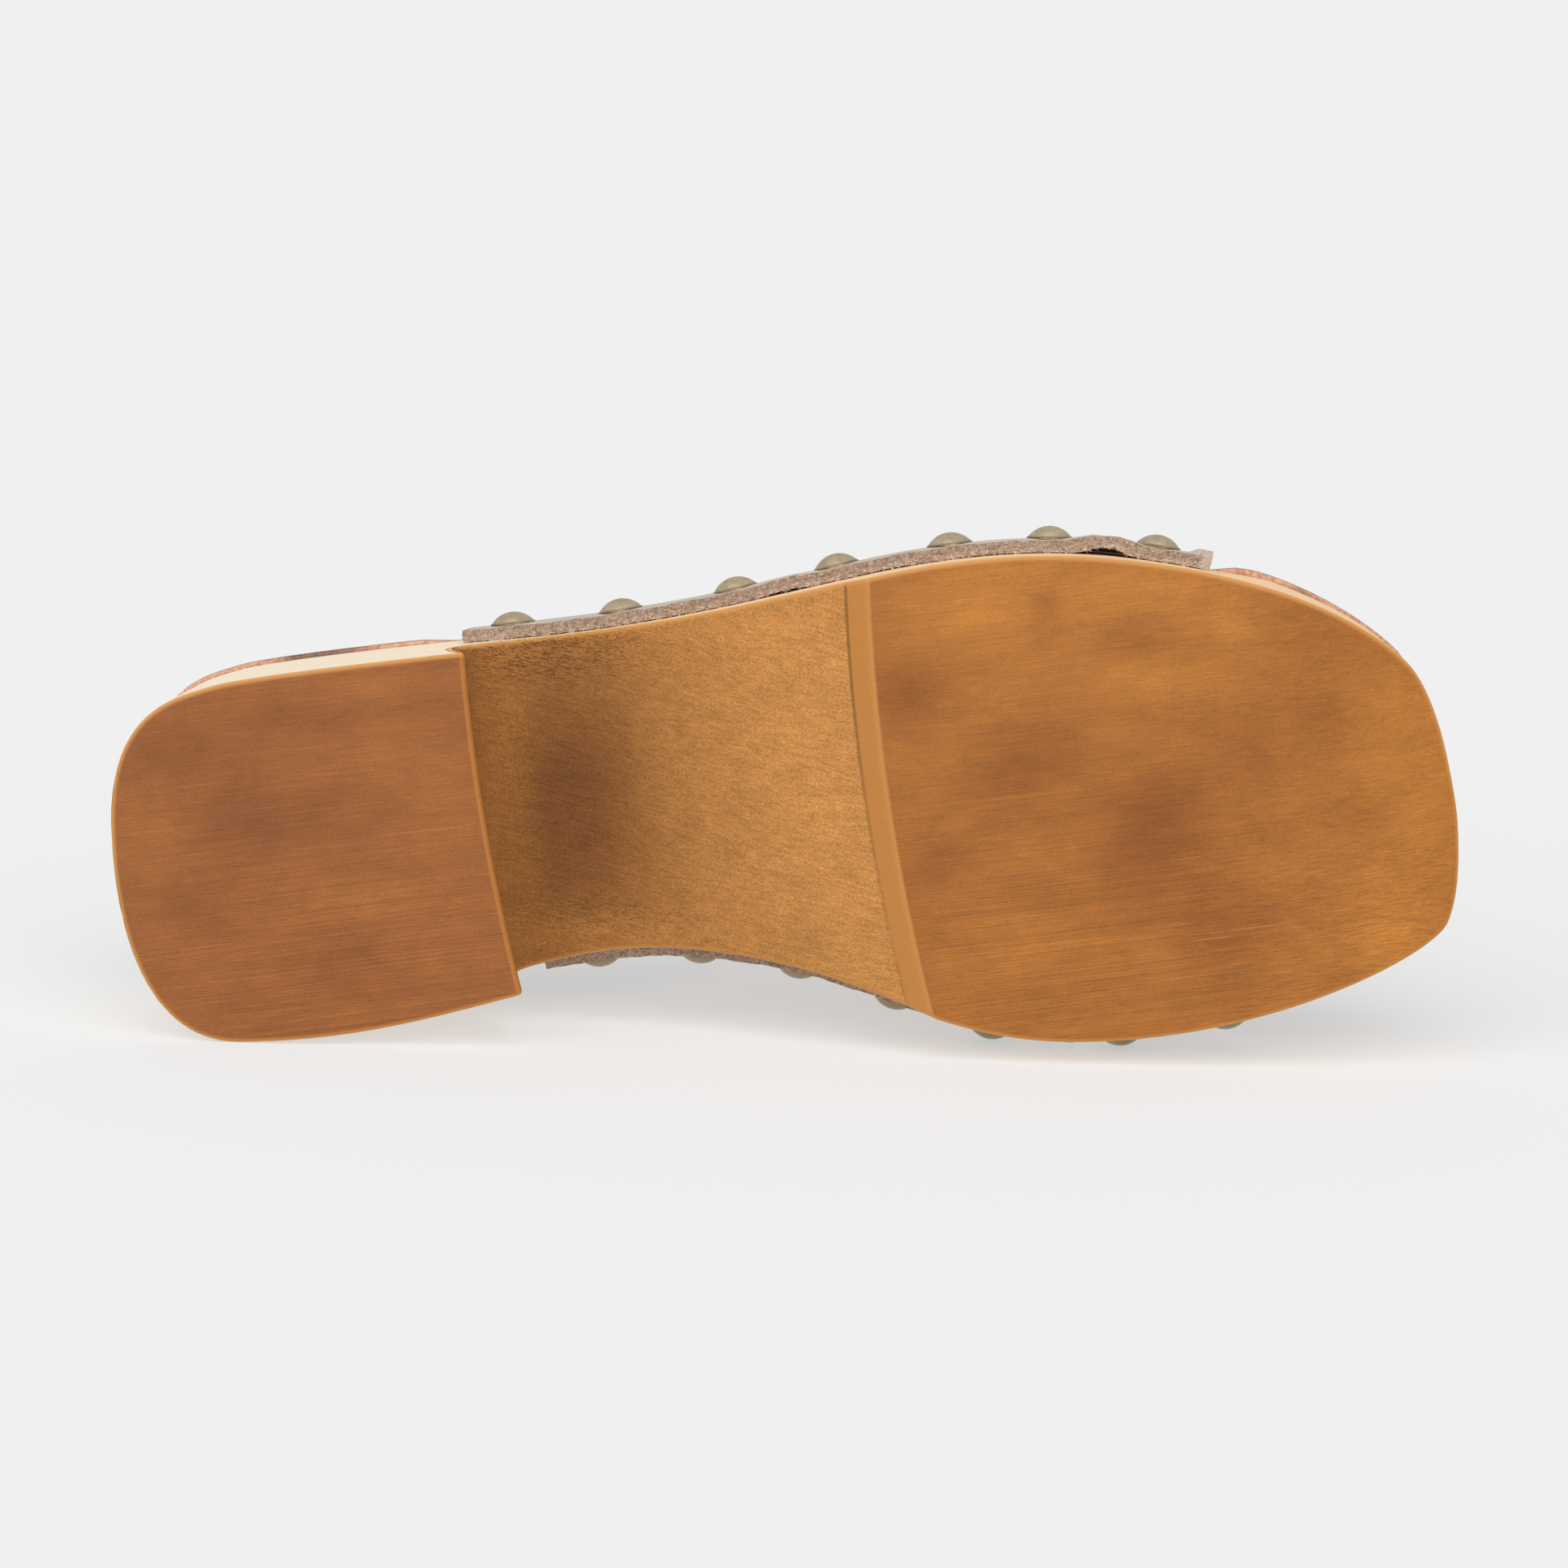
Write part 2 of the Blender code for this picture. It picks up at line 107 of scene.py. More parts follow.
# Bottom outline anticlockwise from the heel: name, share of length, share of ball width,
# heading in degrees, reach of the curve before and after as shares of length
OUTLINE = (
    ("heel_back", 0.0, -0.080, -90.0, 0.087, 0.054),
    ("heel_medial", 0.092, -0.537, 0.0, 0.079, 0.144),
    ("waist_medial", 0.423, -0.387, 0.0, 0.109, 0.144),
    ("ball_medial", 0.713, -0.538, 0.0, 0.113, 0.134),
    ("toe_medial", 0.993, -0.299, 67.0, 0.028, 0.022),
    ("toe_tip", 1.0, -0.101, 93.0, 0.024, 0.026),
    ("toe_lateral", 0.958, 0.244, 137.0, 0.034, 0.103),
    ("ball_lateral", 0.696, 0.468, 180.0, 0.042, 0.138),
    ("waist_lateral", 0.298, 0.281, 186.0, 0.188, 0.096),
    ("heel_lateral", 0.076, 0.201, 198.0, 0.020, 0.024),
)
OUTLINE_SPACING = 0.25

# Leather sheet on the foot-bed, a little wider at the outer side of the toe than in the solids
FIT_GAP = 0.3
INSOLE_THICK = 2.4
INSOLE_OVERHANG = 0.7
INSOLE_TOE_OVERHANG = 0.5
INSOLE_OUTER_TOE = 0.5
INSOLE_OUTER_ACROSS = (5.0, 25.0)
INSOLE_OUTER_ALONG = (236.0, 212.0)
INSOLE_INSET = 0.2
INSOLE_CLEAR = 1.5
INSOLE_RAMP = 8.0
INSOLE_TOE_RAMP = 5.0
INSOLE_ROUND = 0.4

# Leather upper, with its ends given along the shoe
LEATHER = 2.6
SKIRT = 13.0
REAR_MEDIAL = 78.5
REAR_LATERAL = 63.5
THROAT_AT = 128.0
FRONT_MEDIAL = 216.5
FRONT_LATERAL = 203.0
TOE_EDGE_AT = 196.0
COLLAR_POWER = 1.5
TOE_POWER = 0.9
JOINT_BULGE = 2.33
JOINT_AT = 172.0
JOINT_SPREAD = 48.0
JOINT_POWER = 0.6

# Upper sections from heel to toe: name, share of length, crown above the bed as a share of
# the instep, shift of the crown as a share of ball width, squareness
SECTIONS = (
    ("rear", 0.24, 1.12, -0.05, 2.00),
    ("throat", 0.52, 1.00, -0.06, 2.05),
    ("ball", 0.665, 0.74, -0.045, 2.25),
    ("toe", 0.80, 0.58, -0.025, 2.40),
    ("front", 0.90, 0.51, -0.02, 2.40),
)

# Domed nails, which stand a little taller and are set deeper than in the solids
STUD_WIDTH = 8.6
STUD_RISE = 2.4
STUD_RIM = 0.5
STUD_LEDGE = 0.35
STUD_EDGE_ROUND = 0.2
STUD_ABOVE_EDGE = 6.4
STUD_SUNK = 0.76
STUD_SPAN = 4.0

# Rows of nails: side, stations from heel to toe, and how far the leather stands off the wood behind
# the first nail, between each pair, and ahead of the last
STUD_ROWS = (
    (
        "lateral",
        (72.6, 93.2, 115.0, 133.9, 155.0, 173.6, 193.8),
        (0.00, 0.02, 0.05, 0.35, 0.10, 0.05, 1.25, 0.08),
    ),
    (
        "medial",
        (89.2, 108.3, 126.8, 144.8, 163.0, 187.7, 207.8),
        (0.00, 0.05, 0.10, 0.10, 0.05, 0.10, 0.05, 0.00),
    ),
)

# Bulge of the leather between two nails and gap under it: how narrow and full they are, how they run
# out past the last nails, and how far up they reach
BULGE_NARROWNESS = 3
GAP_NARROWNESS = 7
BULGE_FULLNESS = 1.25
END_RUN = 9.0
END_LIMIT = 1.3
BULGE_HIGH = 8.0

# Thinned lower edge of the upper, and how much closer it lies to the wood than in the solids
SKIVE = 0.4
SKIVE_REACH = 3.5
SEATED = 0.12

# Waves of that edge: height, turn to a millimetre, start
EDGE_WAVES = ((0.07, 0.61, 0.0), (0.05, 1.7, 1.0))

# Outer side of the upper above that edge: how much thinner it is and how far it leans in, each
# with the distances up the leather where it begins and where it runs out
THINNED = 0.7
THINNED_FROM = (1.5, 14.0)
THINNED_TO = (90.0, 40.0)
LEAN_IN = 0.35
LEAN_FROM = (9.0, 20.0)
LEAN_TO = (60.0, 30.0)

# Lip of the upper at its outer front corner: how far back it begins and eases in, how far it stands
# off the wood, how much thicker it is, and its height
LIP_RUN = 2.0
LIP_EASE = 0.4
LIP_OFF = 0.05
LIP_OUT = 1.3
LIP_HIGH = 6.0

# Cut edges of the upper: layers, how far they swell, and how rough they are
CUT_LAYERS = 7
CUT_SWELL = 0.16
CUT_ROUGHNESS = 0.06

# Loose fibres: tufts to a millimetre, fibres in a tuft, its spread, and their length and half-width
TUFTS_PER_MM = 3.4
TUFT_FIBRES = (2, 6)
TUFT_SPREAD = 0.22
FIBRE_LENGTH = (0.3, 1.0)
FIBRE_HALF = (0.05, 0.10)
SEED = 11

# Soft stains of the wood: along, across, reach along, reach across, strength from dark to golden
STAINS = (
    (28, -6, 14, 8, -0.8),
    (34, 13, 12, 5, -0.5),
    (12, 7, 8, 4.5, -0.5),
    (42, -33, 12, 6, -0.6),
    (14, -23, 6, 5, -0.4),
    (60, 16, 5, 4, -0.35),
    (52, 6, 9, 6, 0.55),
    (9, -10, 5, 7, 0.35),
    (45, -21, 14, 4.5, 0.45),
    (63, -8, 4, 6, 0.35),
    (42, 18, 24, 3.5, 0.6),
    (148, 17, 7, 7, -0.42),
    (152, -14, 5, 6, -0.4),
    (168, 4, 9, 6, -0.35),
    (172, -21, 8, 3.5, -0.4),
    (172, 34, 3.5, 3, -0.7),
    (188, 26, 7, 4, -0.45),
    (195, -2.5, 10, 7, -0.75),
    (189, -13, 9, 6, -0.6),
    (205, -26.5, 10, 7, -0.65),
    (225, 12, 6, 5, -0.3),
    (232, -6, 6, 6, -0.4),
    (160, 35, 15, 9, 1.1),
    (190, 36, 14, 6, 0.75),
    (167, 18, 9, 6, 0.4),
    (196, 20, 14, 5, 0.6),
    (206, 30, 10, 4.5, 0.7),
    (166, -33, 10, 8, 0.3),
    (241, -3, 14, 45, 0.55),
    (236, -28, 8, 9, 0.5),
)

# Tones of the waist, with painted shade in the arch's hollow beside the heel and painted light next to the
# breast: along, across, reach along, reach across, strength from dark to light
WAIST_SHADE_AND_TONE = (
    (70.5, -2, 7, 30, 0.7),
    (85, -5, 12.5, 20, -0.85),
    (95, -19, 10, 8, -0.16),
    (131, -7, 7, 7, 0.15),
    (125, 6, 8, 6, 0.12),
    (118, 26, 14, 6, 0.15),
    (84, -31.5, 18, 4, 0.42),
    (127, -31, 7, 4, -0.22),
    (96, 27, 12, 4, 0.25),
    (73, 28, 4, 4, 0.3),
)

# Torn grain of the waist: along, across, reach along, reach across, strength
TORN = (
    (76.5, 21.5, 13, 5.5, 1),
    (94, 24, 11, 4, 0.4),
    (90, -28, 17, 4.5, 0.5),
)

# Dark patches on the edge of the sheet: along, across, reach along, reach across, strength
EDGE_PATCHES = (
    (34.3, 22, 8, 8, 0.95),
    (29.5, 22, 1.5, 8, 0.4),
    (40.5, 23, 1.4, 8, 0.5),
    (222, 30, 2, 8, 0.5),
)

# How the shoe lies on its inner side
LIE_TILT_DEG = -1.64
LIE_ROLL_DEG = -1.61

# Fineness of the surfaces: rows, columns, levels of a wall, and steps in millimetres
RIM_STEPS = np.array((0.0, 0.07, 0.2, 0.4, 0.65, 0.95, 1.3, 1.8, 2.5, 3.4))
RIM_SHARE = 0.25
FINE_RUN = 4.5
HEEL_ROWS = 44
CORNER_ROWS = 8
BREAST_ROWS = 36
ARCH_ROWS = 72
FACE_ROWS = 8
TREAD_ROWS = 24
TOE_ROWS = 48
BLOCK_COLUMNS = 44
BLOCK_LEVELS = 13
LEVEL_POWER = 1.5
INSOLE_ROWS = 60
INSOLE_COLUMNS = 40
INSOLE_LEVELS = 5
SKIRT_POINTS = 12
OVER_POINTS = 181
SECTION_COUNT = 130
SECTION_MARGIN = 2.0
GIRTH = 205.0
VAMP_RUN = 112.0
END_STEP = 0.3
COLUMN_STEP = 1.9
ROW_STEP = 0.9
STEP_GROWTH = 1.3
STUD_TURNS = 48
WELD = 0.004
SLIVER = 0.002
SHARP_DEG = 50.0

# Light that reaches the sole, the faces turned up, the rims and the nails, and haze over all
LIGHT_LEVEL = 1.53
TOP_LEVEL = 1.0
RIM_LEVEL = 1.4
STUD_LEVEL = 1.0
HAZE = 0.02
ALBEDO_LIMITS = (0.002, 0.92)

# Turn in plan of the grain, its hair lines, the brushed waist and its torn dashes
GRAIN_TURN_DEG = 6.0
HAIR_TURN_DEG = 7.5
WAIST_TURN_DEG = -13.0
DASH_TURN_DEG = -6.0

# Floor, half its width in metres and its drop in millimetres, and studio light
FLOOR_HALF = 40.0
FLOOR_DROP = 0.05
FLOOR_ALBEDO = 0.36
FLOOR_GLOW = 0.468
DOME_LEVEL = 0.5
KEY_LEVEL = 3.4
KEY_FROM = Vector((-0.12, -0.85, 0.6))
KEY_SOFTNESS_DEG = 80.0

# Camera: its aim on the tread, its distance, its rise over the sole's own normal, and its scale
IMAGE_SIZE = 1932
PIXELS_PER_MM = 6.69
AIM_AT = 124.1
CAMERA_DISTANCE = 1000.0
CAMERA_RISE_DEG = 7.5
SENSOR = 36.0


def through(rows, column, share):
    """Column of a table at shares of the length, by a smooth curve through its rows."""
    stations = np.array([row[1] for row in rows])
    values = np.array([row[column] for row in rows])
    slopes = np.gradient(values, stations)
    i = np.clip(np.searchsorted(stations, share) - 1, 0, len(rows) - 2)
    span = stations[i + 1] - stations[i]
    t = np.clip((share - stations[i]) / span, 0.0, 1.0)
    rise = smooth(t, 0.0, 1.0)
    lean = slopes[i] * t * (1.0 - t) ** 2 + slopes[i + 1] * t * t * (t - 1.0)
    return values[i] + (values[i + 1] - values[i]) * rise + lean * span


def bezier(points, count):
    """Points of a cubic curve, without its last one."""
    p0, p1, p2, p3 = (np.array(p, float) for p in points)
    t = np.linspace(0.0, 1.0, count, endpoint=False)[:, None]
    s = 1.0 - t
    return s**3 * p0 + 3.0 * s * s * t * p1 + 3.0 * s * t * t * p2 + t**3 * p3


def outline(spacing):
    """Bottom outline as points and outward normals, along the shoe and across it."""
    points = []
    for here, then in zip(OUTLINE, OUTLINE[1:] + OUTLINE[:1]):
        start = np.array((here[1] * LENGTH, here[2] * BALL_WIDTH))
        end = np.array((then[1] * LENGTH, then[2] * BALL_WIDTH))
        turn = math.radians(here[3])
        turn_end = math.radians(then[3])
        ahead = np.array((math.cos(turn), math.sin(turn))) * here[5] * LENGTH
        behind = np.array((math.cos(turn_end), math.sin(turn_end))) * then[4] * LENGTH
        count = max(4, round(float(np.linalg.norm(end - start)) / spacing))
        points.append(bezier((start, start + ahead, end - behind, end), count))
    points = np.vstack(points)
    along = np.roll(points, -1, axis=0) - np.roll(points, 1, axis=0)
    along /= np.linalg.norm(along, axis=1)[:, None]
    return points, np.stack((along[:, 1], -along[:, 0]), axis=1)


RIM_POINTS, RIM_NORMALS = outline(OUTLINE_SPACING)
TOE_INDEX = int(RIM_POINTS[:, 0].argmax())


def edge(side, along, offset):
    """Distance across of the block's wall on one side, moved outward by an offset."""
    moved = RIM_POINTS + RIM_NORMALS * offset
    chain = moved[1:TOE_INDEX] if side == "medial" else moved[TOE_INDEX + 1:][::-1]
    return np.interp(along, chain[:, 0], chain[:, 1])


def smooth(value, start, end):
    """Share that eases from nought at the start to one at the end."""
    t = np.clip((value - start) / (end - start), 0.0, 1.0)
    return (3.0 - 2.0 * t) * t * t


def draft_at(along, across):
    """Inward lean of the side wall at points of the plan, less at the outer side of the toe."""
    ahead = np.clip((along - FRONT_LATERAL) / TOE_WALL_RUN, 0.0, 1.0)
    share = ahead * np.clip(across / TOE_WALL_SIDE, 0.0, 1.0)
    return WALL_DRAFT + (TOE_DRAFT - WALL_DRAFT) * smooth(share, 0.0, 1.0)


def bow(across):
    """How far lines across the sole curve back toward the heel."""
    return -CROSS_BOW * (1.0 - ((across - BOW_CENTRE) / BOW_HALF) ** 2)


def bed_line(station):
    """Height of the wooden foot-bed at a station of the side view."""
    drop = through(FOOTBED, 2, np.asarray(station, float) / LENGTH)
    return FOREFOOT_HEIGHT + drop * (HEEL_HEIGHT - FOREFOOT_HEIGHT)


def bed(along, across):
    """Height of the wooden foot-bed at a point of the plan."""
    return bed_line(along + across * SLANT - bow(across))


def travelled(points):
    """Distance along lines of points to each of their points."""
    steps = np.linalg.norm(np.diff(points, axis=0), axis=-1)
    return np.concatenate((np.zeros_like(steps[:1]), np.cumsum(steps, axis=0)))


def end_rows(start, stop, count):
    """Stations that crowd together at the start, where an outline rounds off."""
    turns = np.linspace(0.0, 0.5 * math.pi, count)
    return start + (stop - start) * (1.0 - np.cos(turns))


def graded(length, fine, coarse):
    """Shares of a length in steps that grow from both ends to its middle."""
    steps = [0.0]
    step = fine
    while steps[-1] < 0.5 * length:
        steps.append(steps[-1] + step)
        step = min(step * STEP_GROWTH, coarse)
    half = np.array(steps) * 0.5 / steps[-1]
    return np.concatenate((half, 1.0 - half[-2::-1]))


def bottom_line(heel, toe):
    """Bottom line of the block from heel to toe, the foot-bed station above each point, and where
    the breast's edge, the groove and the tread's edge come along the line."""
    breast = (
        (BREAST_AT - BREAST_START, EDGE_ROUND),
        (BREAST_AT - BREAST_LOW[0] * BREAST_UNDERCUT, BREAST_LOW[1] * ARCH_RISE),
        (BREAST_AT - BREAST_HIGH[0] * BREAST_UNDERCUT, BREAST_HIGH[1] * ARCH_RISE),
        (ARCH_PEAK_AT, ARCH_RISE),
    )
    arch = (
        (ARCH_PEAK_AT, ARCH_RISE),
        (ARCH_PEAK_AT + ARCH_AHEAD[0], ARCH_AHEAD[1] * ARCH_RISE),
        (STEP_AT - ARCH_BEHIND[0], STEP_RISE + ARCH_BEHIND[1]),
        (STEP_AT, STEP_RISE),
    )
    flat_end = BREAST_AT - EDGE_ROUND
    line = [(s, 0.0) for s in end_rows(heel, flat_end - FINE_RUN, HEEL_ROWS)]
    line += [(flat_end - reach, 0.0) for reach in RIM_STEPS[:0:-1]]
    edge_row = len(line)
    for turn in np.linspace(0.0, 0.5 * math.pi, CORNER_ROWS)[:-1]:
        line.append((flat_end + EDGE_ROUND * math.sin(turn), EDGE_ROUND * (1.0 - math.cos(turn))))
    corner = len(line)
    line += bezier(breast, BREAST_ROWS).tolist()
    peak = len(line)
    line += [p for p in bezier(arch, ARCH_ROWS).tolist() if p[0] < STEP_AT - GROOVE_HALF]
    groove_row = len(line)
    line.append((STEP_AT, STEP_RISE + GROOVE_DEPTH))
    tread = STEP_AT + STEP_RUN
    tread_edge = [(tread + ahead, height) for ahead, height in TREAD_EDGE]
    face_start = (STEP_AT + GROOVE_HALF, STEP_RISE - FACE_DROP)
    line += np.linspace(face_start, tread_edge[0], FACE_ROWS).tolist()
    line += tread_edge[1:]
    tread_row = len(line) - 2
    line += [(s, 0.0) for s in np.linspace(tread_edge[-1][0], SPRING_FROM, TREAD_ROWS)[1:]]
    for s in end_rows(toe, SPRING_FROM, TOE_ROWS)[-2::-1]:
        share = (s - SPRING_FROM) / (LENGTH - SPRING_FROM)
        line.append((s, TOE_SPRING * share**2))
    line = np.array(line)
    run = travelled(line)
    marks = (0.0, SEAT_AT - heel, run[corner], run[peak], run[-1])
    over = np.interp(run, marks, (heel, SEAT_AT, BREAST_AT - BREAST_LEAD, ARCH_PEAK_AT, toe))
    zones = {"breast": run[edge_row], "groove": run[groove_row], "tread": run[tread_row]}
    return line, over, run, zones


def rails(offset):
    """Inner and outer side of the outline moved outward, with their shares of the way to the toe."""
    moved = RIM_POINTS + RIM_NORMALS * np.reshape(offset, (-1, 1))
    station = moved[:, 0] + moved[:, 1] * SLANT - bow(moved[:, 1])
    heel = int(station.argmin())
    toe = (int(station.argmax()) - heel) % len(moved)
    moved = np.roll(moved, -heel, axis=0)
    station = np.roll(station, -heel)
    share = (station - station[0]) / (station[toe] - station[0])
    inner = (share[:toe + 1], moved[:toe + 1])
    outer = (np.append(share[toe:], 0.0)[::-1], np.vstack((moved[toe:], moved[:1]))[::-1])
    return inner, outer, station[0], station[toe]


def on_wall(low, high, side, share, height):
    """Points of a side wall, between the outline at the floor and at the reference height."""
    lift = np.reshape(height / REFERENCE_HEIGHT, (-1, 1))
    ends = []
    for shares, points in (low[side], high[side]):
        ends.append(np.stack([np.interp(share, shares, points[:, k]) for k in (0, 1)], axis=1))
    return ends[0] * (1.0 - lift) + ends[1] * lift


def face_rows(low, high, lean, line, inward, radius, middles):
    """One face of a slab as rows of points from the inner to the outer side, rounded at its rim,
    and the depth of each point behind the wall."""
    share = (line[:, 0] - low[2]) / (low[3] - low[2])
    height = line[:, 1]
    inner = on_wall(low, high, 0, share, height)
    outer = on_wall(low, high, 1, share, height)
    width = np.maximum(np.linalg.norm(outer - inner, axis=1), 1e-6)[:, None]
    steps = RIM_STEPS * np.minimum(1.0, RIM_SHARE * width / RIM_STEPS[-1]) / width
    last = steps[:, -1:]
    middle = last + (1.0 - 2.0 * last) * np.linspace(0.0, 1.0, middles + 2)[1:-1]
    shares = np.concatenate((steps, middle, 1.0 - steps[:, ::-1]), axis=1)
    v = inner[:, 1:] + (outer - inner)[:, 1:] * shares
    x = inner[:, :1] + (inner[:, 1:] - v) * SLANT + bow(v) - bow(inner[:, 1:])
    rim = np.vstack((low[0][1], low[1][1]))
    depth = np.zeros_like(x)
    for i in range(len(line)):
        reach = np.hypot(x[i][:, None] - rim[:, 0], v[i][:, None] - rim[:, 1]).min(axis=1)
        reach -= lean * draft_at(x[i], v[i]) * height[i]
        depth[i, 1:-1] = np.maximum(reach, 0.0)[1:-1]
    round_in = radius - np.minimum(depth, radius)
    dip = radius - np.sqrt(radius**2 - round_in**2)
    points = np.stack((x + inward[:, :1] * dip, v, height[:, None] + inward[:, 1:] * dip), axis=2)
    return points, depth


def slab(low, high, lean, line, top, radii, middles, levels):
    """Rings of a solid between a bottom and a top line of the side view, with how far each point
    is from the lower edge, whether it lies off the bottom, and how many lie across the top."""
    along = np.gradient(line, axis=0)
    along /= np.linalg.norm(along, axis=1)[:, None]
    inward = np.stack((-along[:, 1], along[:, 0]), axis=1)
    down = np.tile((0.0, -1.0), (len(line), 1))
    bottom, depth = face_rows(low, high, lean, line, inward, radii[0], middles)
    lid, lid_depth = face_rows(low, high, lean, top, down, radii[1], middles // 2)
    lifts = np.linspace(0.0, 1.0, levels + 2)[1:-1] ** LEVEL_POWER
    walls = []
    for side, end in ((1, -1), (0, 0)):
        span = lid[:, end, 2] - bottom[:, end, 2]
        wall = []
        for lift in lifts:
            station = line[:, 0] + (top[:, 0] - line[:, 0]) * lift
            height = bottom[:, end, 2] + span * lift
            plan = on_wall(low, high, side, (station - low[2]) / (low[3] - low[2]), height)
            wall.append(np.concatenate((plan, height[:, None]), axis=1))
        wall = np.stack(wall, axis=1)
        walls.append((wall, wall[:, :, 2] - bottom[:, end, 2:]))
    (outer, outer_rim), (inner, inner_rim) = walls
    rings = np.concatenate((bottom, outer, lid[:, ::-1], inner[:, ::-1]), axis=1)
    lid_rim = lid_depth[:, ::-1] + HEEL_HEIGHT
    rim = np.concatenate((depth, outer_rim, lid_rim, inner_rim[:, ::-1]), axis=1)
    wall = np.ones(rings.shape[:2])
    wall[:, :bottom.shape[1]] = 0.0
    return rings, rim, wall, lid.shape[1]


def ring_faces(rings):
    """Faces of rows of closed rings."""
    rows, ring = rings.shape[:2]
    starts = np.arange(rows - 1)[:, None] * ring
    here = starts + np.arange(ring)
    back = starts + np.roll(np.arange(ring), 1)
    return np.stack((back, here, here + ring, back + ring), axis=2).reshape(-1, 4)


def spots_at(points, table):
    """Sum of the soft spots of a table at points along and across."""
    points = np.asarray(points, float)
    total = np.zeros(points.shape[:-1])
    for along, across, reach_along, reach_across, strength in table:
        off_along = (points[..., 0] - along) / reach_along
        off_across = (points[..., 1] - across) / reach_across
        total += strength * np.exp(-(off_along**2) - off_across**2)
    return np.clip(total, -1.0, 1.0)


def add_piece(name, points, faces, marks, material, node=None):
    """Piece of the shoe from points along, across and up, with its marks for the finish."""
    mesh = bpy.data.meshes.new(name)
    spots = np.array(points, float).reshape(-1, 3)
    places = spots * (MM, -MM, MM) @ np.array(REST.to_3x3()).T + np.array(REST.translation)
    mesh.from_pydata(places.tolist(), [], np.asarray(faces).tolist())
    layer = mesh.attributes.new("spot", "FLOAT_VECTOR", "POINT")
    layer.data.foreach_set("vector", spots.astype(np.float32).ravel())
    for key, values in marks.items():
        layer = mesh.attributes.new(key, "FLOAT", "POINT")
        layer.data.foreach_set("value", np.asarray(values, np.float32).ravel())
    work = bmesh.new()
    work.from_mesh(mesh)
    bmesh.ops.remove_doubles(work, verts=work.verts, dist=WELD * MM)
    bmesh.ops.dissolve_degenerate(work, edges=work.edges, dist=SLIVER * MM)
    bmesh.ops.recalc_face_normals(work, faces=work.faces)
    work.to_mesh(mesh)
    work.free()
    mesh.shade_smooth()
    mesh.set_sharp_from_angle(angle=math.radians(SHARP_DEG))
    mesh.materials.append(material)
    item = bpy.data.objects.new(name, mesh)
    bpy.context.scene.collection.objects.link(item)
    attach(item, "root")
    if node:
        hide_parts(node)


def block_rings():
    """Fine wooden block as rings, with its marks and the zones of its bottom line."""
    low = rails(0.0)
    high = rails(-draft_at(*RIM_POINTS.T) * REFERENCE_HEIGHT)
    line, over, run, zones = bottom_line(low[2], low[3])
    top = np.stack((over, bed_line(over)), axis=1)
    radii = (EDGE_ROUND, BED_ROUND)
    rings, rim, wall, _ = slab(low, high, 1.0, line, top, radii, BLOCK_COLUMNS, BLOCK_LEVELS)
    marks = {"rim": rim, "wall": wall, "run": np.broadcast_to(run[:, None], rim.shape)}
    marks["stain"] = spots_at(rings, STAINS)
    # Painted shade and light of the waist, with its other tones, as a mark
    marks["waist"] = spots_at(rings, WAIST_SHADE_AND_TONE)
    marks["torn"] = spots_at(rings, TORN)
    return rings, marks, zones


def insole_rings():
    """Fine leather sheet on the foot-bed, as rings with marks of its edge and its top face."""
    along, across = RIM_POINTS.T
    rear_end = np.where(across > 0.0, REAR_LATERAL, REAR_MEDIAL) - INSOLE_CLEAR
    front_end = np.where(across > 0.0, FRONT_LATERAL, FRONT_MEDIAL) + INSOLE_CLEAR
    rear = np.clip((rear_end - along) / INSOLE_RAMP, 0.0, 1.0)
    front = np.clip((along - front_end) / INSOLE_TOE_RAMP, 0.0, 1.0)
    reach = -INSOLE_INSET + (INSOLE_OVERHANG + INSOLE_INSET) * rear
    more = INSOLE_OUTER_TOE * smooth(across, *INSOLE_OUTER_ACROSS) * smooth(along, *INSOLE_OUTER_ALONG)
    reach += (INSOLE_TOE_OVERHANG + more + INSOLE_INSET) * front
    low = rails(reach - draft_at(along, across) * bed(along, across))
    half = 0.5 * (low[2] + low[3])
    to_toe = end_rows(low[3], half, INSOLE_ROWS)[-2::-1]
    stations = np.append(end_rows(low[2], half, INSOLE_ROWS), to_toe)
    line = np.stack((stations, bed_line(stations) + FIT_GAP), axis=1)
    top = line + np.array((0.0, INSOLE_THICK))
    radii = (INSOLE_ROUND, INSOLE_ROUND)
    rings, rim, wall, lid = slab(low, low, 0.0, line, top, radii, INSOLE_COLUMNS, INSOLE_LEVELS)
    face = np.zeros_like(wall)
    first = rings.shape[1] - INSOLE_LEVELS - lid
    face[:, first + 1:first + lid - 1] = 1.0
    return rings, {"rim": rim, "wall": wall, "face": face, "edge_patch": spots_at(rings, EDGE_PATCHES)}


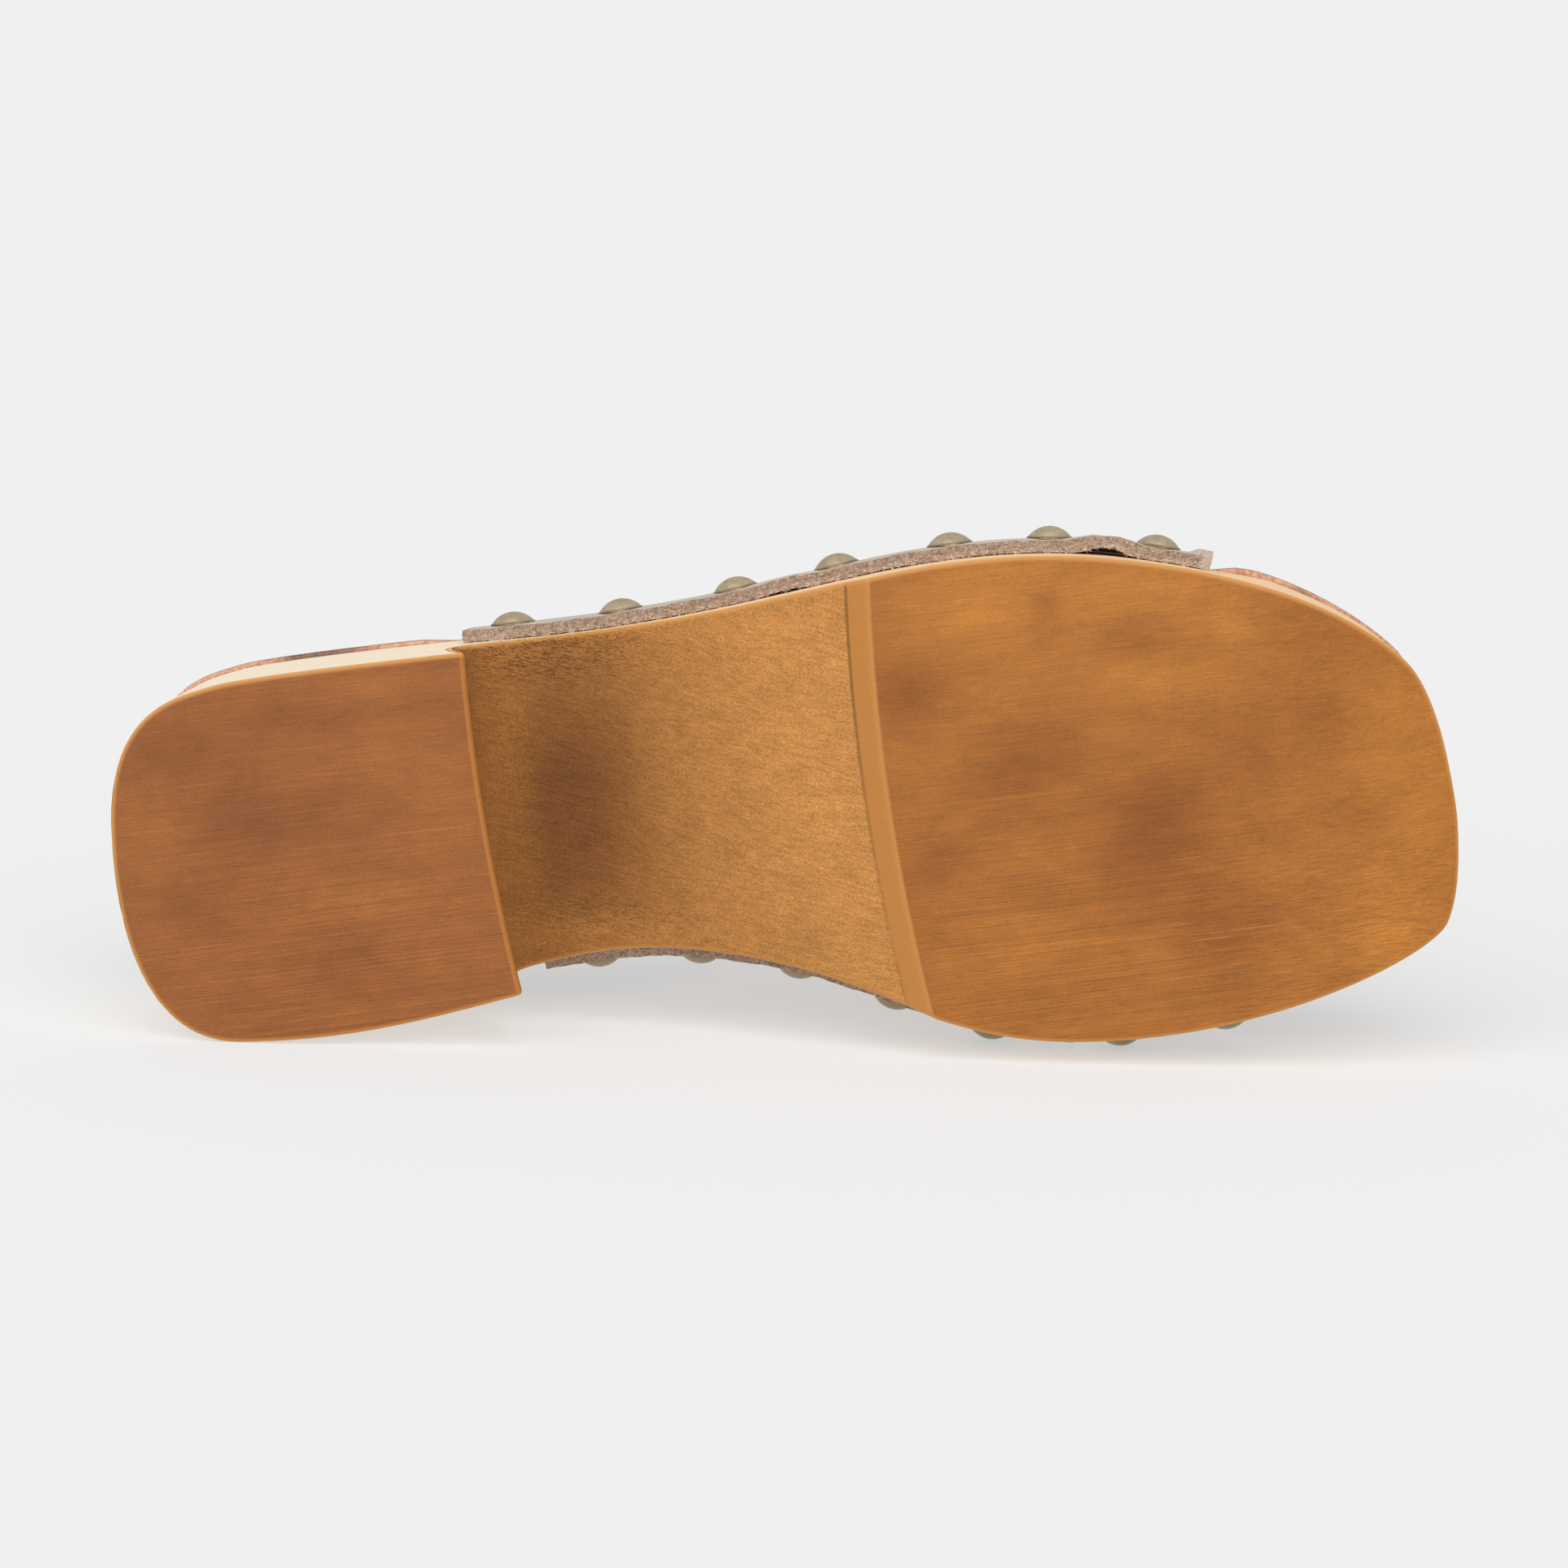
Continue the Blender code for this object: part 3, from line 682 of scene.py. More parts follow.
def section(along, shares):
    """Inner line of the upper over the foot at one station, at shares of its length."""
    share = along / LENGTH
    crown = INSTEP * through(SECTIONS, 2, share)
    shift = BALL_WIDTH * through(SECTIONS, 3, share)
    power = 2.0 / through(SECTIONS, 4, share)
    skirts = {}
    for side in ("medial", "lateral"):
        rim = bed(along, edge(side, along, 0.0))
        heights = np.linspace(rim - SKIRT, rim, SKIRT_POINTS)
        skirts[side] = [(edge(side, along, FIT_GAP - WALL_DRAFT * h), h) for h in heights]
    medial = skirts["medial"][-1]
    lateral = skirts["lateral"][-1]
    middle = 0.5 * (medial[0] + lateral[0]) + shift
    top = bed(along, middle) + INSOLE_THICK + crown
    swell = JOINT_BULGE * math.exp(-(((along - JOINT_AT) / JOINT_SPREAD) ** 2))
    line = skirts["medial"][:-1]
    for turn in np.linspace(0.0, math.pi, OVER_POINTS):
        across, rim = medial if turn < 0.5 * math.pi else lateral
        wide = abs(math.cos(turn)) ** power
        high = max(math.sin(turn), 0.0) ** power
        v = middle + (across - middle) * wide
        if across < middle:
            v -= swell * math.sin(math.pi * min(high, 1.0) ** JOINT_POWER) ** 2
        line.append((v, rim + (top - rim) * high))
    line = np.array(line + skirts["lateral"][::-1][1:])
    travel = travelled(line)
    steps = shares * travel[-1]
    return np.stack([np.interp(steps, travel, line[:, k]) for k in (0, 1)], axis=1)


def upper_ends(share):
    """Stations of the collar edge and the toe edge at shares of the way over the foot."""
    swing = np.sin(math.pi * share)
    rear = REAR_MEDIAL + (REAR_LATERAL - REAR_MEDIAL) * share
    front = FRONT_MEDIAL + (FRONT_LATERAL - FRONT_MEDIAL) * share
    rear += (THROAT_AT - 0.5 * (REAR_MEDIAL + REAR_LATERAL)) * swing**COLLAR_POWER
    front += (TOE_EDGE_AT - 0.5 * (FRONT_MEDIAL + FRONT_LATERAL)) * swing**TOE_POWER
    return rear, front


def stand_off(along, stations, lifts, narrowness):
    """How far the leather's lower edge stands off the wood, held down at each nail."""
    off = np.zeros_like(along)
    for near, arch_shade_ramp, lift in zip(stations, stations[1:], lifts[1:]):
        t = np.clip((along - near) / (arch_shade_ramp - near), 0.0, 1.0)
        off += lift * np.clip(BULGE_FULLNESS * np.sin(math.pi * t) ** narrowness, 0.0, 1.0)
    for lift, past in ((lifts[0], stations[0] - along), (lifts[-1], along - stations[-1])):
        off += lift * np.clip(past / END_RUN, 0.0, END_LIMIT) ** 2
    return off


def upper_sheet():
    """Inner and outer face of the leather upper, as columns over the foot by rows along it."""
    columns = graded(GIRTH, END_STEP, COLUMN_STEP)
    rows = graded(VAMP_RUN, END_STEP, ROW_STEP)
    ends = (REAR_LATERAL - SECTION_MARGIN, FRONT_MEDIAL + SECTION_MARGIN)
    stations = np.linspace(*ends, SECTION_COUNT)
    lines = np.array([section(float(s), columns) for s in stations])
    inner = np.empty((len(columns), len(rows), 3))
    for i, share in enumerate(columns):
        rear, front = upper_ends(share)
        along = rear + (front - rear) * rows
        inner[i, :, 0] = along
        inner[i, :, 1] = np.interp(along, stations, lines[:, i, 0])
        inner[i, :, 2] = np.interp(along, stations, lines[:, i, 1])
    normal = np.cross(np.gradient(inner, axis=0), np.gradient(inner, axis=1))
    normal /= np.linalg.norm(normal, axis=2)[:, :, None]
    if normal[len(columns) // 2, len(rows) // 2, 2] < 0.0:
        normal = -normal
    climb = travelled(inner)
    thick = np.full(climb.shape, LEATHER)
    for side, nails, lifts in STUD_ROWS:
        up = climb if side == "medial" else climb[-1] - climb
        near_edge = np.exp(-((up / BULGE_HIGH) ** 2))
        bulge = stand_off(inner[:, :, 0], nails, lifts, BULGE_NARROWNESS)
        gap = stand_off(inner[:, :, 0], nails, lifts, GAP_NARROWNESS)
        thick += (bulge - gap) * near_edge
        inner = inner + normal * ((gap - SEATED) * near_edge)[:, :, None]
        wave = sum(high * np.sin(turn * inner[:, :, 0] + start) for high, turn, start in EDGE_WAVES)
        thick += np.exp(-((up / SKIVE_REACH) ** 2)) * (wave - SKIVE)
    up = climb[-1] - climb
    thick -= THINNED * smooth(up, *THINNED_FROM) * smooth(up, *THINNED_TO)
    lean = LEAN_IN * smooth(up, *LEAN_FROM) * smooth(up, *LEAN_TO)
    inner = inner - normal * lean[:, :, None]
    from_front = upper_ends(columns)[1][:, None] - inner[:, :, 0]
    lip = smooth(from_front, LIP_RUN, LIP_RUN - LIP_EASE) * np.exp(-((up / LIP_HIGH) ** 2))
    inner = inner + normal * (LIP_OFF * lip)[:, :, None]
    thick += LIP_OUT * lip
    return inner, inner + normal * thick[:, :, None], lip


def sheet_faces(inner, outer, lip, rng):
    """Closed sheet from its two faces, with cut edges of several layers between them."""
    columns, rows = inner.shape[:2]
    count = columns * rows
    grid = np.arange(count).reshape(columns, rows)
    flat = np.stack((grid[:-1, :-1], grid[:-1, 1:], grid[1:, 1:], grid[1:, :-1]), axis=2).reshape(-1, 4)
    quads = [flat, (flat + count)[:, ::-1]]
    border = np.concatenate((grid[:, 0], grid[-1, 1:], grid[-2::-1, -1], grid[0, -2:0:-1]))
    i, r = np.divmod(border, rows)
    deep = inner[i, r]
    shallow = outer[i, r]
    away = deep - inner[np.clip(i, 1, columns - 2), np.clip(r, 1, rows - 2)]
    away /= np.linalg.norm(away, axis=1)[:, None]
    rings = [border]
    extra = []
    for k in range(1, CUT_LAYERS):
        t = k / CUT_LAYERS
        swell = CUT_SWELL * math.sin(math.pi * t) + rng.normal(0.0, CUT_ROUGHNESS, len(border))
        extra.append(deep + (shallow - deep) * t + away * swell[:, None])
        rings.append(2 * count + (k - 1) * len(border) + np.arange(len(border)))
    rings.append(border + count)
    for low, high in zip(rings, rings[1:]):
        quads.append(np.stack((low, np.roll(low, -1), np.roll(high, -1), high), axis=1))
    points = np.concatenate((inner.reshape(-1, 3), outer.reshape(-1, 3), *extra))
    cut = np.zeros(len(points))
    cut[border] = 1.0
    cut[border + count] = 1.0
    cut[2 * count:] = 1.0
    back = np.zeros(len(points))
    back[:count] = 1.0
    back[2 * count:] = np.repeat(1.0 - np.arange(1, CUT_LAYERS) / CUT_LAYERS, len(border))
    lip = lip.ravel()
    lips = np.concatenate((lip, lip, np.tile(lip[border], CUT_LAYERS - 1)))
    return points, np.concatenate(quads), {"cut": cut, "back": back, "lip": lips}


def fibres(inner, outer, rng):
    """Loose leather fibres on the two lower cut edges, as tufts of thin bent spikes."""
    points = []
    faces = []
    for column in (0, -1):
        low = inner[column]
        thick = outer[column] - low
        inward = -np.sign(thick[len(low) // 2, 1])
        steps = travelled(low)
        for _ in range(int(TUFTS_PER_MM * steps[-1])):
            centre = rng.uniform(0.0, steps[-1])
            level = min(abs(rng.normal(0.0, 0.32)), 0.85)
            lay = rng.normal(0.0, 1.0)
            for _ in range(rng.integers(*TUFT_FIBRES)):
                at = np.interp(centre + rng.normal(0.0, TUFT_SPREAD), steps, np.arange(len(low)))
                i = min(int(at), len(low) - 2)
                t = at - i
                deep = np.clip(level + rng.normal(0.0, 0.08), -0.05, 0.95)
                base = low[i] * (1.0 - t) + low[i + 1] * t + thick[i] * deep
                lean = np.array((lay + rng.normal(0.0, 0.5), inward * rng.normal(0.25, 0.4), -0.55))
                lean /= np.linalg.norm(lean)
                length = rng.uniform(*FIBRE_LENGTH)
                bend = rng.normal(0.0, 0.25, 3) * length
                half = rng.uniform(*FIBRE_HALF)
                side = np.cross(lean, (0.0, 1.0, 0.3))
                side /= np.linalg.norm(side)
                other = np.cross(lean, side)
                first = len(points)
                for share, thin in ((-0.15, 1.0), (0.5, 0.8)):
                    middle = base + lean * length * share + bend * max(share, 0.0) ** 2
                    for turn in (0.0, 2.1, 4.2):
                        spread = side * math.cos(turn) + other * math.sin(turn)
                        points.append(middle + spread * half * thin)
                points.append(base + lean * length + bend)
                for k in range(3):
                    a = first + k
                    b = first + (k + 1) % 3
                    faces += [(a, b, b + 3), (a, b + 3, a + 3), (a + 3, b + 3, first + 6)]
                faces.append((first + 2, first + 1, first))
    return np.array(points), faces


def stud_rings():
    """Domed nail head as rings about its own axis, from the middle of its back to its crown."""
    half = 0.5 * STUD_WIDTH
    dome_half = half - STUD_LEDGE
    flat = half - STUD_EDGE_ROUND
    dome = STUD_RISE - STUD_RIM
    radius = (dome_half**2 + dome**2) / (2.0 * dome)
    line = [(0.0, 0.0), (0.6 * half, 0.0), (flat, 0.0)]
    for turn in np.linspace(-0.5 * math.pi, 0.5 * math.pi, 7):
        high = STUD_EDGE_ROUND + STUD_EDGE_ROUND * math.sin(turn)
        line.append((flat + STUD_EDGE_ROUND * math.cos(turn), high))
    for turn in np.linspace(math.asin(dome_half / radius), 0.0, 14):
        line.append((radius * math.sin(turn), STUD_RISE - radius * (1.0 - math.cos(turn))))
    line = np.array(line)
    turns = np.linspace(0.0, 2.0 * math.pi, STUD_TURNS, endpoint=False)
    x = line[:, :1] * np.cos(turns)
    y = line[:, :1] * np.sin(turns)
    z = np.broadcast_to(line[:, 1:], x.shape)
    out = np.broadcast_to(line[:, :1] / half, x.shape)
    return np.stack((x, y, z), axis=2), out


def stud_place(side, along):
    """Where a nail sits on the leather, as a turn and a point along, across and up."""
    height = bed(along, edge(side, along, 0.0)) - SKIRT + STUD_ABOVE_EDGE
    face = FIT_GAP + LEATHER + FIT_GAP - STUD_SUNK - WALL_DRAFT * height
    facing = 1.0 if side == "lateral" else -1.0
    reach = 0.5 * STUD_SPAN
    climb = edge(side, along + reach, face) - edge(side, along - reach, face)
    outward = Vector((-climb * facing, STUD_SPAN * facing, STUD_SPAN * WALL_DRAFT))
    turn = np.array(outward.to_track_quat("Z", "Y").to_matrix())
    return turn, np.array((along, edge(side, along, face), height))


class Finish:
    """A material's nodes, with short calls for those that the finishes share."""

    def __init__(self, name):
        self.material = bpy.data.materials.new(name)
        self.material.use_nodes = True
        self.tree = self.material.node_tree
        self.shader = self.tree.nodes["Principled BSDF"]

    def put(self, socket, value):
        if isinstance(value, bpy.types.NodeSocket):
            self.tree.links.new(value, socket)
        else:
            socket.default_value = value

    def add(self, kind, inputs, **settings):
        node = self.tree.nodes.new("ShaderNode" + kind)
        for key, value in settings.items():
            setattr(node, key, value)
        for key, value in inputs.items():
            self.put(node.inputs[key], value)
        return node

    def mark(self, name):
        return self.add("Attribute", {}, attribute_name=name).outputs["Fac"]

    def spot(self):
        """The shoe's own millimetres along, across and up."""
        return self.add("Attribute", {}, attribute_name="spot").outputs["Vector"]

    def place(self, scale, turn_deg=0.0):
        """The shoe's own millimetres, turned in plan and then scaled."""
        turn = (0.0, 0.0, -math.radians(turn_deg))
        turned = self.add("Mapping", {"Vector": self.spot(), "Rotation": turn})
        scaled = self.add("Mapping", {"Vector": turned.outputs[0], "Scale": scale})
        return scaled.outputs[0]

    def axis(self, number):
        """The millimetres along, across or up."""
        return self.add("SeparateXYZ", {0: self.spot()}).outputs[number]

    def noise(self, scale, turn_deg=0.0, detail=4.0, rough=0.55, warp=0.0):
        inputs = {"Vector": self.place(scale, turn_deg), "Scale": 1.0, "Detail": detail}
        inputs.update({"Roughness": rough, "Distortion": warp})
        return self.add("TexNoise", inputs).outputs["Fac"]

    def cells(self, scale):
        return self.add("TexVoronoi", {"Vector": self.place(scale), "Scale": 1.0}).outputs["Distance"]

    def math(self, operation, first, second=0.5):
        return self.add("Math", {0: first, 1: second}, operation=operation).outputs[0]

    def times(self, first, second):
        return self.math("MULTIPLY", first, second)

    def plus(self, first, second):
        return self.math("ADD", first, second)

    def minus(self, first, second):
        return self.math("SUBTRACT", first, second)

    def span(self, value, start, end, to_start=0.0, to_end=1.0):
        """Smooth way between two values as a third goes from start to end."""
        inputs = {"Value": value, "From Min": start, "From Max": end, "To Min": to_start, "To Max": to_end}
        return self.add("MapRange", inputs, interpolation_type="SMOOTHSTEP").outputs[0]

    def mix(self, share, first, second, blend="MIX"):
        inputs = {0: share, 6: first, 7: second}
        return self.add("Mix", inputs, data_type="RGBA", blend_type=blend).outputs[2]

    def shade(self, colour, share):
        """A colour multiplied by a grey share."""
        grey = self.add("CombineColor", {0: share, 1: share, 2: share}).outputs[0]
        return self.mix(1.0, colour, grey, "MULTIPLY")

    def vary(self, colour, value, start, end, dark, light):
        """A colour shaded from dark to light as a value goes from start to end."""
        return self.shade(colour, self.span(value, start, end, dark, light))

    def bump(self, height, depth, under=None):
        inputs = {"Height": height, "Distance": depth * MM, "Strength": 1.0}
        if under is not None:
            inputs["Normal"] = under
        return self.add("Bump", inputs).outputs[0]

    def finish(self, values):
        """Set the shader's sockets by name and give the material."""
        for key, value in values.items():
            self.put(self.shader.inputs[key], value)
        return self.material


def tone(red, green, blue, level=LIGHT_LEVEL):
    """Surface colour that shows as these display values under the studio light."""
    shown = np.array((red, green, blue)) / 255.0
    linear = np.where(shown > 0.04045, ((shown + 0.055) / 1.055) ** 2.4, shown / 12.92)
    return (*np.clip((linear - HAZE) / level, *ALBEDO_LIMITS).tolist(), 1.0)


def wood_finish(zones):
    """Stained tread with thin worn rims and a painted highlight at their very edge, a rough sanded waist
    with painted shade and light in its arch, painted shade in its groove, and pale bare walls.
    """
    f = Finish("clog_wood")
    rim = f.mark("rim")
    run = f.mark("run")
    wall = f.mark("wall")
    torn = f.mark("torn")
    along = f.axis(0)
    across = f.axis(1)
    cloud = f.noise((0.045, 0.07, 0.05), GRAIN_TURN_DEG, 1.5, 0.5, 0.3)
    short = f.noise((0.19, 3.3, 1.4), GRAIN_TURN_DEG, 3.0, 0.6)
    streak = f.noise((0.028, 2.0, 0.9), GRAIN_TURN_DEG, 3.0, 0.6)
    band = f.noise((0.008, 0.25, 0.12), GRAIN_TURN_DEG, 2.0, 0.5)
    fleck = f.noise((1.4, 3.4, 2.6), GRAIN_TURN_DEG, 5.0, 0.72)
    mottle = f.noise((0.17, 0.26, 0.2), GRAIN_TURN_DEG, 3.0, 0.6, 0.5)
    sand = f.noise((2.7, 3.4, 3.0), 0.0, 4.0, 0.7)
    brush = f.noise((0.10, 1.9, 0.9), WAIST_TURN_DEG, 3.0, 0.6, 0.25)
    dash = f.noise((0.75, 3.1, 1.6), DASH_TURN_DEG, 3.0, 0.6, 0.6)

    vary = f.times(f.minus(cloud, 0.5), 1.1)
    stain = f.plus(f.mark("stain"), vary)
    share = f.span(stain, -1.4, 1.4)
    forefoot = f.mix(share, tone(138, 81, 44), tone(200, 130, 61))
    heel = f.mix(share, tone(139, 84, 51), tone(178, 113, 62))
    in_forefoot = f.span(run, zones["tread"] - 0.35, zones["tread"] + 0.35)
    tread = f.mix(in_forefoot, heel, forefoot)
    lines = f.plus(f.times(streak, 0.26), f.times(short, 0.62))
    lines = f.plus(lines, f.times(band, 0.12))
    tread = f.vary(tread, lines, 0.38, 0.62, 0.915, 1.085)
    tread = f.vary(tread, fleck, 0.3, 0.7, 0.87, 1.13)
    tread = f.vary(tread, mottle, 0.3, 0.7, 0.94, 1.06)
    low_side = f.span(across, 10.0, -30.0, 0.35, 1.0)
    hair = f.noise((0.014, 4.0, 1.8), HAIR_TURN_DEG, 2.0, 0.6)
    tread = f.mix(low_side, tread, f.vary(tread, hair, 0.34, 0.66, 0.87, 1.14))
    light_line = f.times(f.span(streak, 0.60, 0.70), f.span(band, 0.5, 0.62))
    light_line = f.times(light_line, low_side)
    tread = f.mix(f.times(light_line, 0.45), tread, tone(212, 148, 84))

    # Painted shade: the waist darker deep in the arch near the heel and lighter toward the step
    arch_shade_ramp = f.span(run, zones["breast"] + 28.0, zones["groove"] - 6.0)
    olive = f.mix(arch_shade_ramp, tone(164, 110, 63), tone(205, 144, 82))
    # Painted shade in the arch beside the heel, browner where darkest, and painted light next to the breast
    shadow = f.mark("waist")
    olive = f.vary(olive, shadow, -1.2, 1.2, 0.50, 1.50)
    olive = f.mix(f.span(shadow, -0.1, -0.8), olive, (1.03, 0.93, 0.88, 1.0), "MULTIPLY")
    olive = f.vary(olive, sand, 0.34, 0.66, 0.73, 1.26)
    olive = f.vary(olive, brush, 0.36, 0.64, 0.89, 1.10)
    olive = f.vary(olive, mottle, 0.3, 0.7, 0.94, 1.06)
    pores = f.span(fleck, 0.64, 0.76)
    olive = f.mix(f.times(pores, 0.30), olive, tone(104, 68, 38))
    dashes = f.times(f.span(dash, 0.54, 0.63), torn)
    olive = f.mix(f.times(dashes, 0.38), olive, tone(92, 60, 34))
    lit_dashes = f.times(f.span(dash, 0.46, 0.34), torn)
    olive = f.mix(f.times(lit_dashes, 0.34), olive, tone(196, 146, 92))
    past_breast = f.span(run, zones["breast"] + 0.6, zones["breast"] + 2.0)
    base = f.mix(past_breast, tread, olive)
    step = f.vary(tone(210, 144, 80), lines, 0.36, 0.64, 0.96, 1.04)
    past_groove = f.span(run, zones["groove"] - 0.1, zones["groove"] + 0.2)
    base = f.mix(past_groove, base, step)
    base = f.mix(in_forefoot, base, tread)
    # Painted shade in the groove at the root of the step, strongest toward the outer side
    near_groove = f.math("ABSOLUTE", f.minus(run, zones["groove"]))
    groove_shade_fade = f.span(across, 22.0, -30.0, 1.0, 0.4)
    groove = f.times(f.span(near_groove, 0.05, 0.55, 0.85, 0.0), groove_shade_fade)
    base = f.mix(groove, base, tone(140, 98, 54))

    breast_edge = f.math("ABSOLUTE", f.minus(run, zones["breast"] + 0.5))
    base = f.mix(f.span(breast_edge, 0.35, 0.85, 0.6, 0.0), base, tone(206, 137, 70))
    worn = f.span(f.plus(rim, f.times(fleck, 0.4)), 0.35, 1.25, 0.85, 0.0)
    base = f.mix(worn, base, tone(228, 161, 90))
    # Palest line at the very edge: worn bare wood, with a painted highlight where the rounded edge catches
    # the light
    base = f.mix(f.span(rim, 0.02, 0.30, 0.8, 0.0), base, tone(248, 198, 138))

    pale_lines = f.noise((0.012, 1.0, 1.7), 0.0, 5.0, 0.65)
    lit = f.span(pale_lines, 0.35, 0.65)
    pale = f.mix(lit, tone(245, 220, 192, TOP_LEVEL), tone(253, 236, 214, TOP_LEVEL))
    warm = f.mix(lit, tone(243, 197, 148, TOP_LEVEL), tone(253, 216, 176, TOP_LEVEL))
    pale = f.mix(f.span(along, 62.0, 86.0), pale, warm)
    pale = f.mix(f.span(rim, 0.1, 1.5), tone(247, 194, 132, TOP_LEVEL), pale)
    base = f.mix(wall, base, pale)

    rough = f.span(lines, 0.2, 0.8, 0.58, 0.48)
    waist = f.minus(past_breast, past_groove)
    rough = f.plus(rough, f.times(waist, 0.25))
    grain = f.bump(lines, 0.05)
    grit = f.minus(f.times(sand, 0.5), f.times(dashes, 0.8))
    grain = f.bump(f.times(grit, waist), 0.22, grain)
    values = {"Base Color": base, "Roughness": rough, "Normal": grain, "Specular IOR Level": 0.25}
    return f.finish(values)


def upper_finish():
    """Taupe leather whose outer face is painted lighter, partly as the grazing highlight along its lower
    edge, with pale ragged fibre on its cut edges and a napped back.
    """
    f = Finish("clog_upper")
    cut = f.mark("cut")
    back = f.mark("back")
    cloud = f.noise((0.05, 0.05, 0.05), 0.0, 4.0, 0.5)
    pebble = f.cells((0.9, 0.9, 0.9))
    fine = f.noise((1.4, 1.4, 1.4), 0.0, 4.0, 0.6)
    shag = f.noise((1.3, 1.9, 2.2), 0.0, 4.0, 0.7, 0.8)
    speck = f.noise((2.6, 2.6, 2.6), 0.0, 3.0, 0.65)
    # Outer face: leather tone painted lighter, partly as a highlight seen at grazing angles
    face = f.mix(f.span(cloud, 0.3, 0.7), tone(190, 171, 151, TOP_LEVEL), tone(208, 190, 170, TOP_LEVEL))
    face = f.vary(face, fine, 0.3, 0.7, 0.95, 1.05)
    nap = f.mix(f.span(fine, 0.3, 0.7), tone(150, 126, 108), tone(184, 158, 136))
    smooth_cut = f.mix(f.span(fine, 0.35, 0.65), tone(156, 128, 108), tone(202, 174, 152))
    ragged = f.mix(f.span(shag, 0.36, 0.62), tone(150, 121, 100), tone(242, 214, 188))
    ragged = f.mix(f.span(back, 0.35, 0.85), smooth_cut, ragged)
    ragged = f.mix(f.span(speck, 0.58, 0.68, 0.0, 0.8), ragged, tone(246, 226, 204))
    ragged = f.mix(f.span(speck, 0.42, 0.32, 0.0, 0.7), ragged, tone(112, 86, 66))
    base = f.mix(back, face, nap)
    base = f.mix(cut, base, ragged)
    # Painted highlight: the flared lip at the outer front corner painted lighter
    base = f.mix(f.times(f.mark("lip"), 0.75), base, tone(228, 210, 192))
    plain = f.minus(1.0, f.math("MAXIMUM", cut, back))
    rough = f.minus(0.85, f.times(plain, 0.5))
    grain = f.bump(pebble, 0.05)
    grain = f.bump(f.times(shag, cut), 0.4, grain)
    values = {"Base Color": base, "Roughness": rough, "Normal": grain}
    values.update({"Coat Weight": f.times(plain, 0.3), "Coat Roughness": 0.3})
    return f.finish(values)


def fibre_finish():
    """Loose fibre ends, lighter than the leather."""
    f = Finish("clog_fibre")
    vary = f.noise((0.8, 0.8, 0.8), 0.0, 2.0)
    base = f.mix(f.span(vary, 0.3, 0.7), tone(206, 178, 152), tone(250, 230, 208))
    return f.finish({"Base Color": base, "Roughness": 0.8})


def insole_finish():
    """Terracotta leather, smooth on its face and darker in patches on its edge."""
    f = Finish("clog_insole")
    wall = f.mark("wall")
    face = f.mark("face")
    cloud = f.noise((0.06, 0.06, 0.06), 0.0, 4.0)
    fine = f.noise((1.2, 1.2, 1.2), 0.0, 4.0, 0.6)
    pebble = f.cells((1.1, 1.1, 1.1))
    tan = f.mix(f.span(cloud, 0.3, 0.7), tone(176, 116, 86), tone(198, 136, 104))
    side = f.mix(f.span(fine, 0.35, 0.65), tone(198, 143, 109, RIM_LEVEL), tone(228, 178, 144, RIM_LEVEL))
    rim = f.mark("rim")
    at_edge = f.math("MAXIMUM", f.minus(wall, face), f.span(rim, 1.7, 1.0))
    base = f.mix(at_edge, tan, side)
    base = f.vary(base, fine, 0.3, 0.7, 0.94, 1.05)
    # Darker patches along the sheet's edge
    edge_patch = f.times(f.mark("edge_patch"), f.span(rim, 1.7, 0.7))
    base = f.mix(f.times(edge_patch, 0.9), base, tone(84, 52, 42))
    grain = f.bump(pebble, 0.06)
    return f.finish({"Base Color": base, "Roughness": 0.55, "Normal": grain})


def stud_finish():
    """Antique brass, darker toward the rim and mottled, with painted shade on the inner row, which lies
    under the shoe.
    """
    f = Finish("clog_stud")
    out = f.mark("out")
    cloud = f.noise((0.5, 0.5, 0.5), 0.0, 4.0, 0.6)
    fine = f.noise((3.0, 3.0, 3.0), 0.0, 3.0, 0.6)
    brass = f.mix(f.span(cloud, 0.3, 0.7), tone(206, 186, 150, STUD_LEVEL), tone(226, 207, 174, STUD_LEVEL))
    dark = f.span(f.plus(out, f.times(cloud, 0.2)), 0.95, 1.14)
    base = f.mix(dark, brass, tone(112, 96, 72, STUD_LEVEL))
    # Painted shade: the inner row of nails darker, as it lies in the shoe's shadow on the floor
    base = f.mix(f.times(f.mark("underside_shade"), 0.6), base, tone(104, 84, 60, STUD_LEVEL))
    rough = f.span(fine, 0.3, 0.7, 0.27, 0.38)
    grain = f.bump(fine, 0.03)
    return f.finish({"Base Color": base, "Roughness": rough, "Normal": grain, "Metallic": 0.9})


def floor_finish():
    """Pale floor with some glow of its own, so that shadows stay light."""
    f = Finish("studio_floor")
    grey = (FLOOR_ALBEDO, FLOOR_ALBEDO, FLOOR_ALBEDO, 1.0)
    values = {"Base Color": grey, "Roughness": 0.95, "Specular IOR Level": 0.0}
    values.update({"Emission Color": (1.0, 1.0, 1.0, 1.0), "Emission Strength": FLOOR_GLOW})
    return f.finish(values)


# Rest pose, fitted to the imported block
block, block_marks, zones = block_rings()
lie = Matrix.Rotation(math.radians(-90.0 + LIE_TILT_DEG), 4, "X")
lie = Matrix.Rotation(math.radians(LIE_ROLL_DEG), 4, "Y") @ lie
turned = (block.reshape(-1, 3) * (MM, -MM, MM)) @ np.array(lie.to_3x3()).T
packed = np.array([list(corner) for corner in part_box("wooden_sole")])
shift = packed.mean(axis=0) - 0.5 * (turned.min(axis=0) + turned.max(axis=0))
REST = Matrix.Translation(Vector(shift)) @ lie

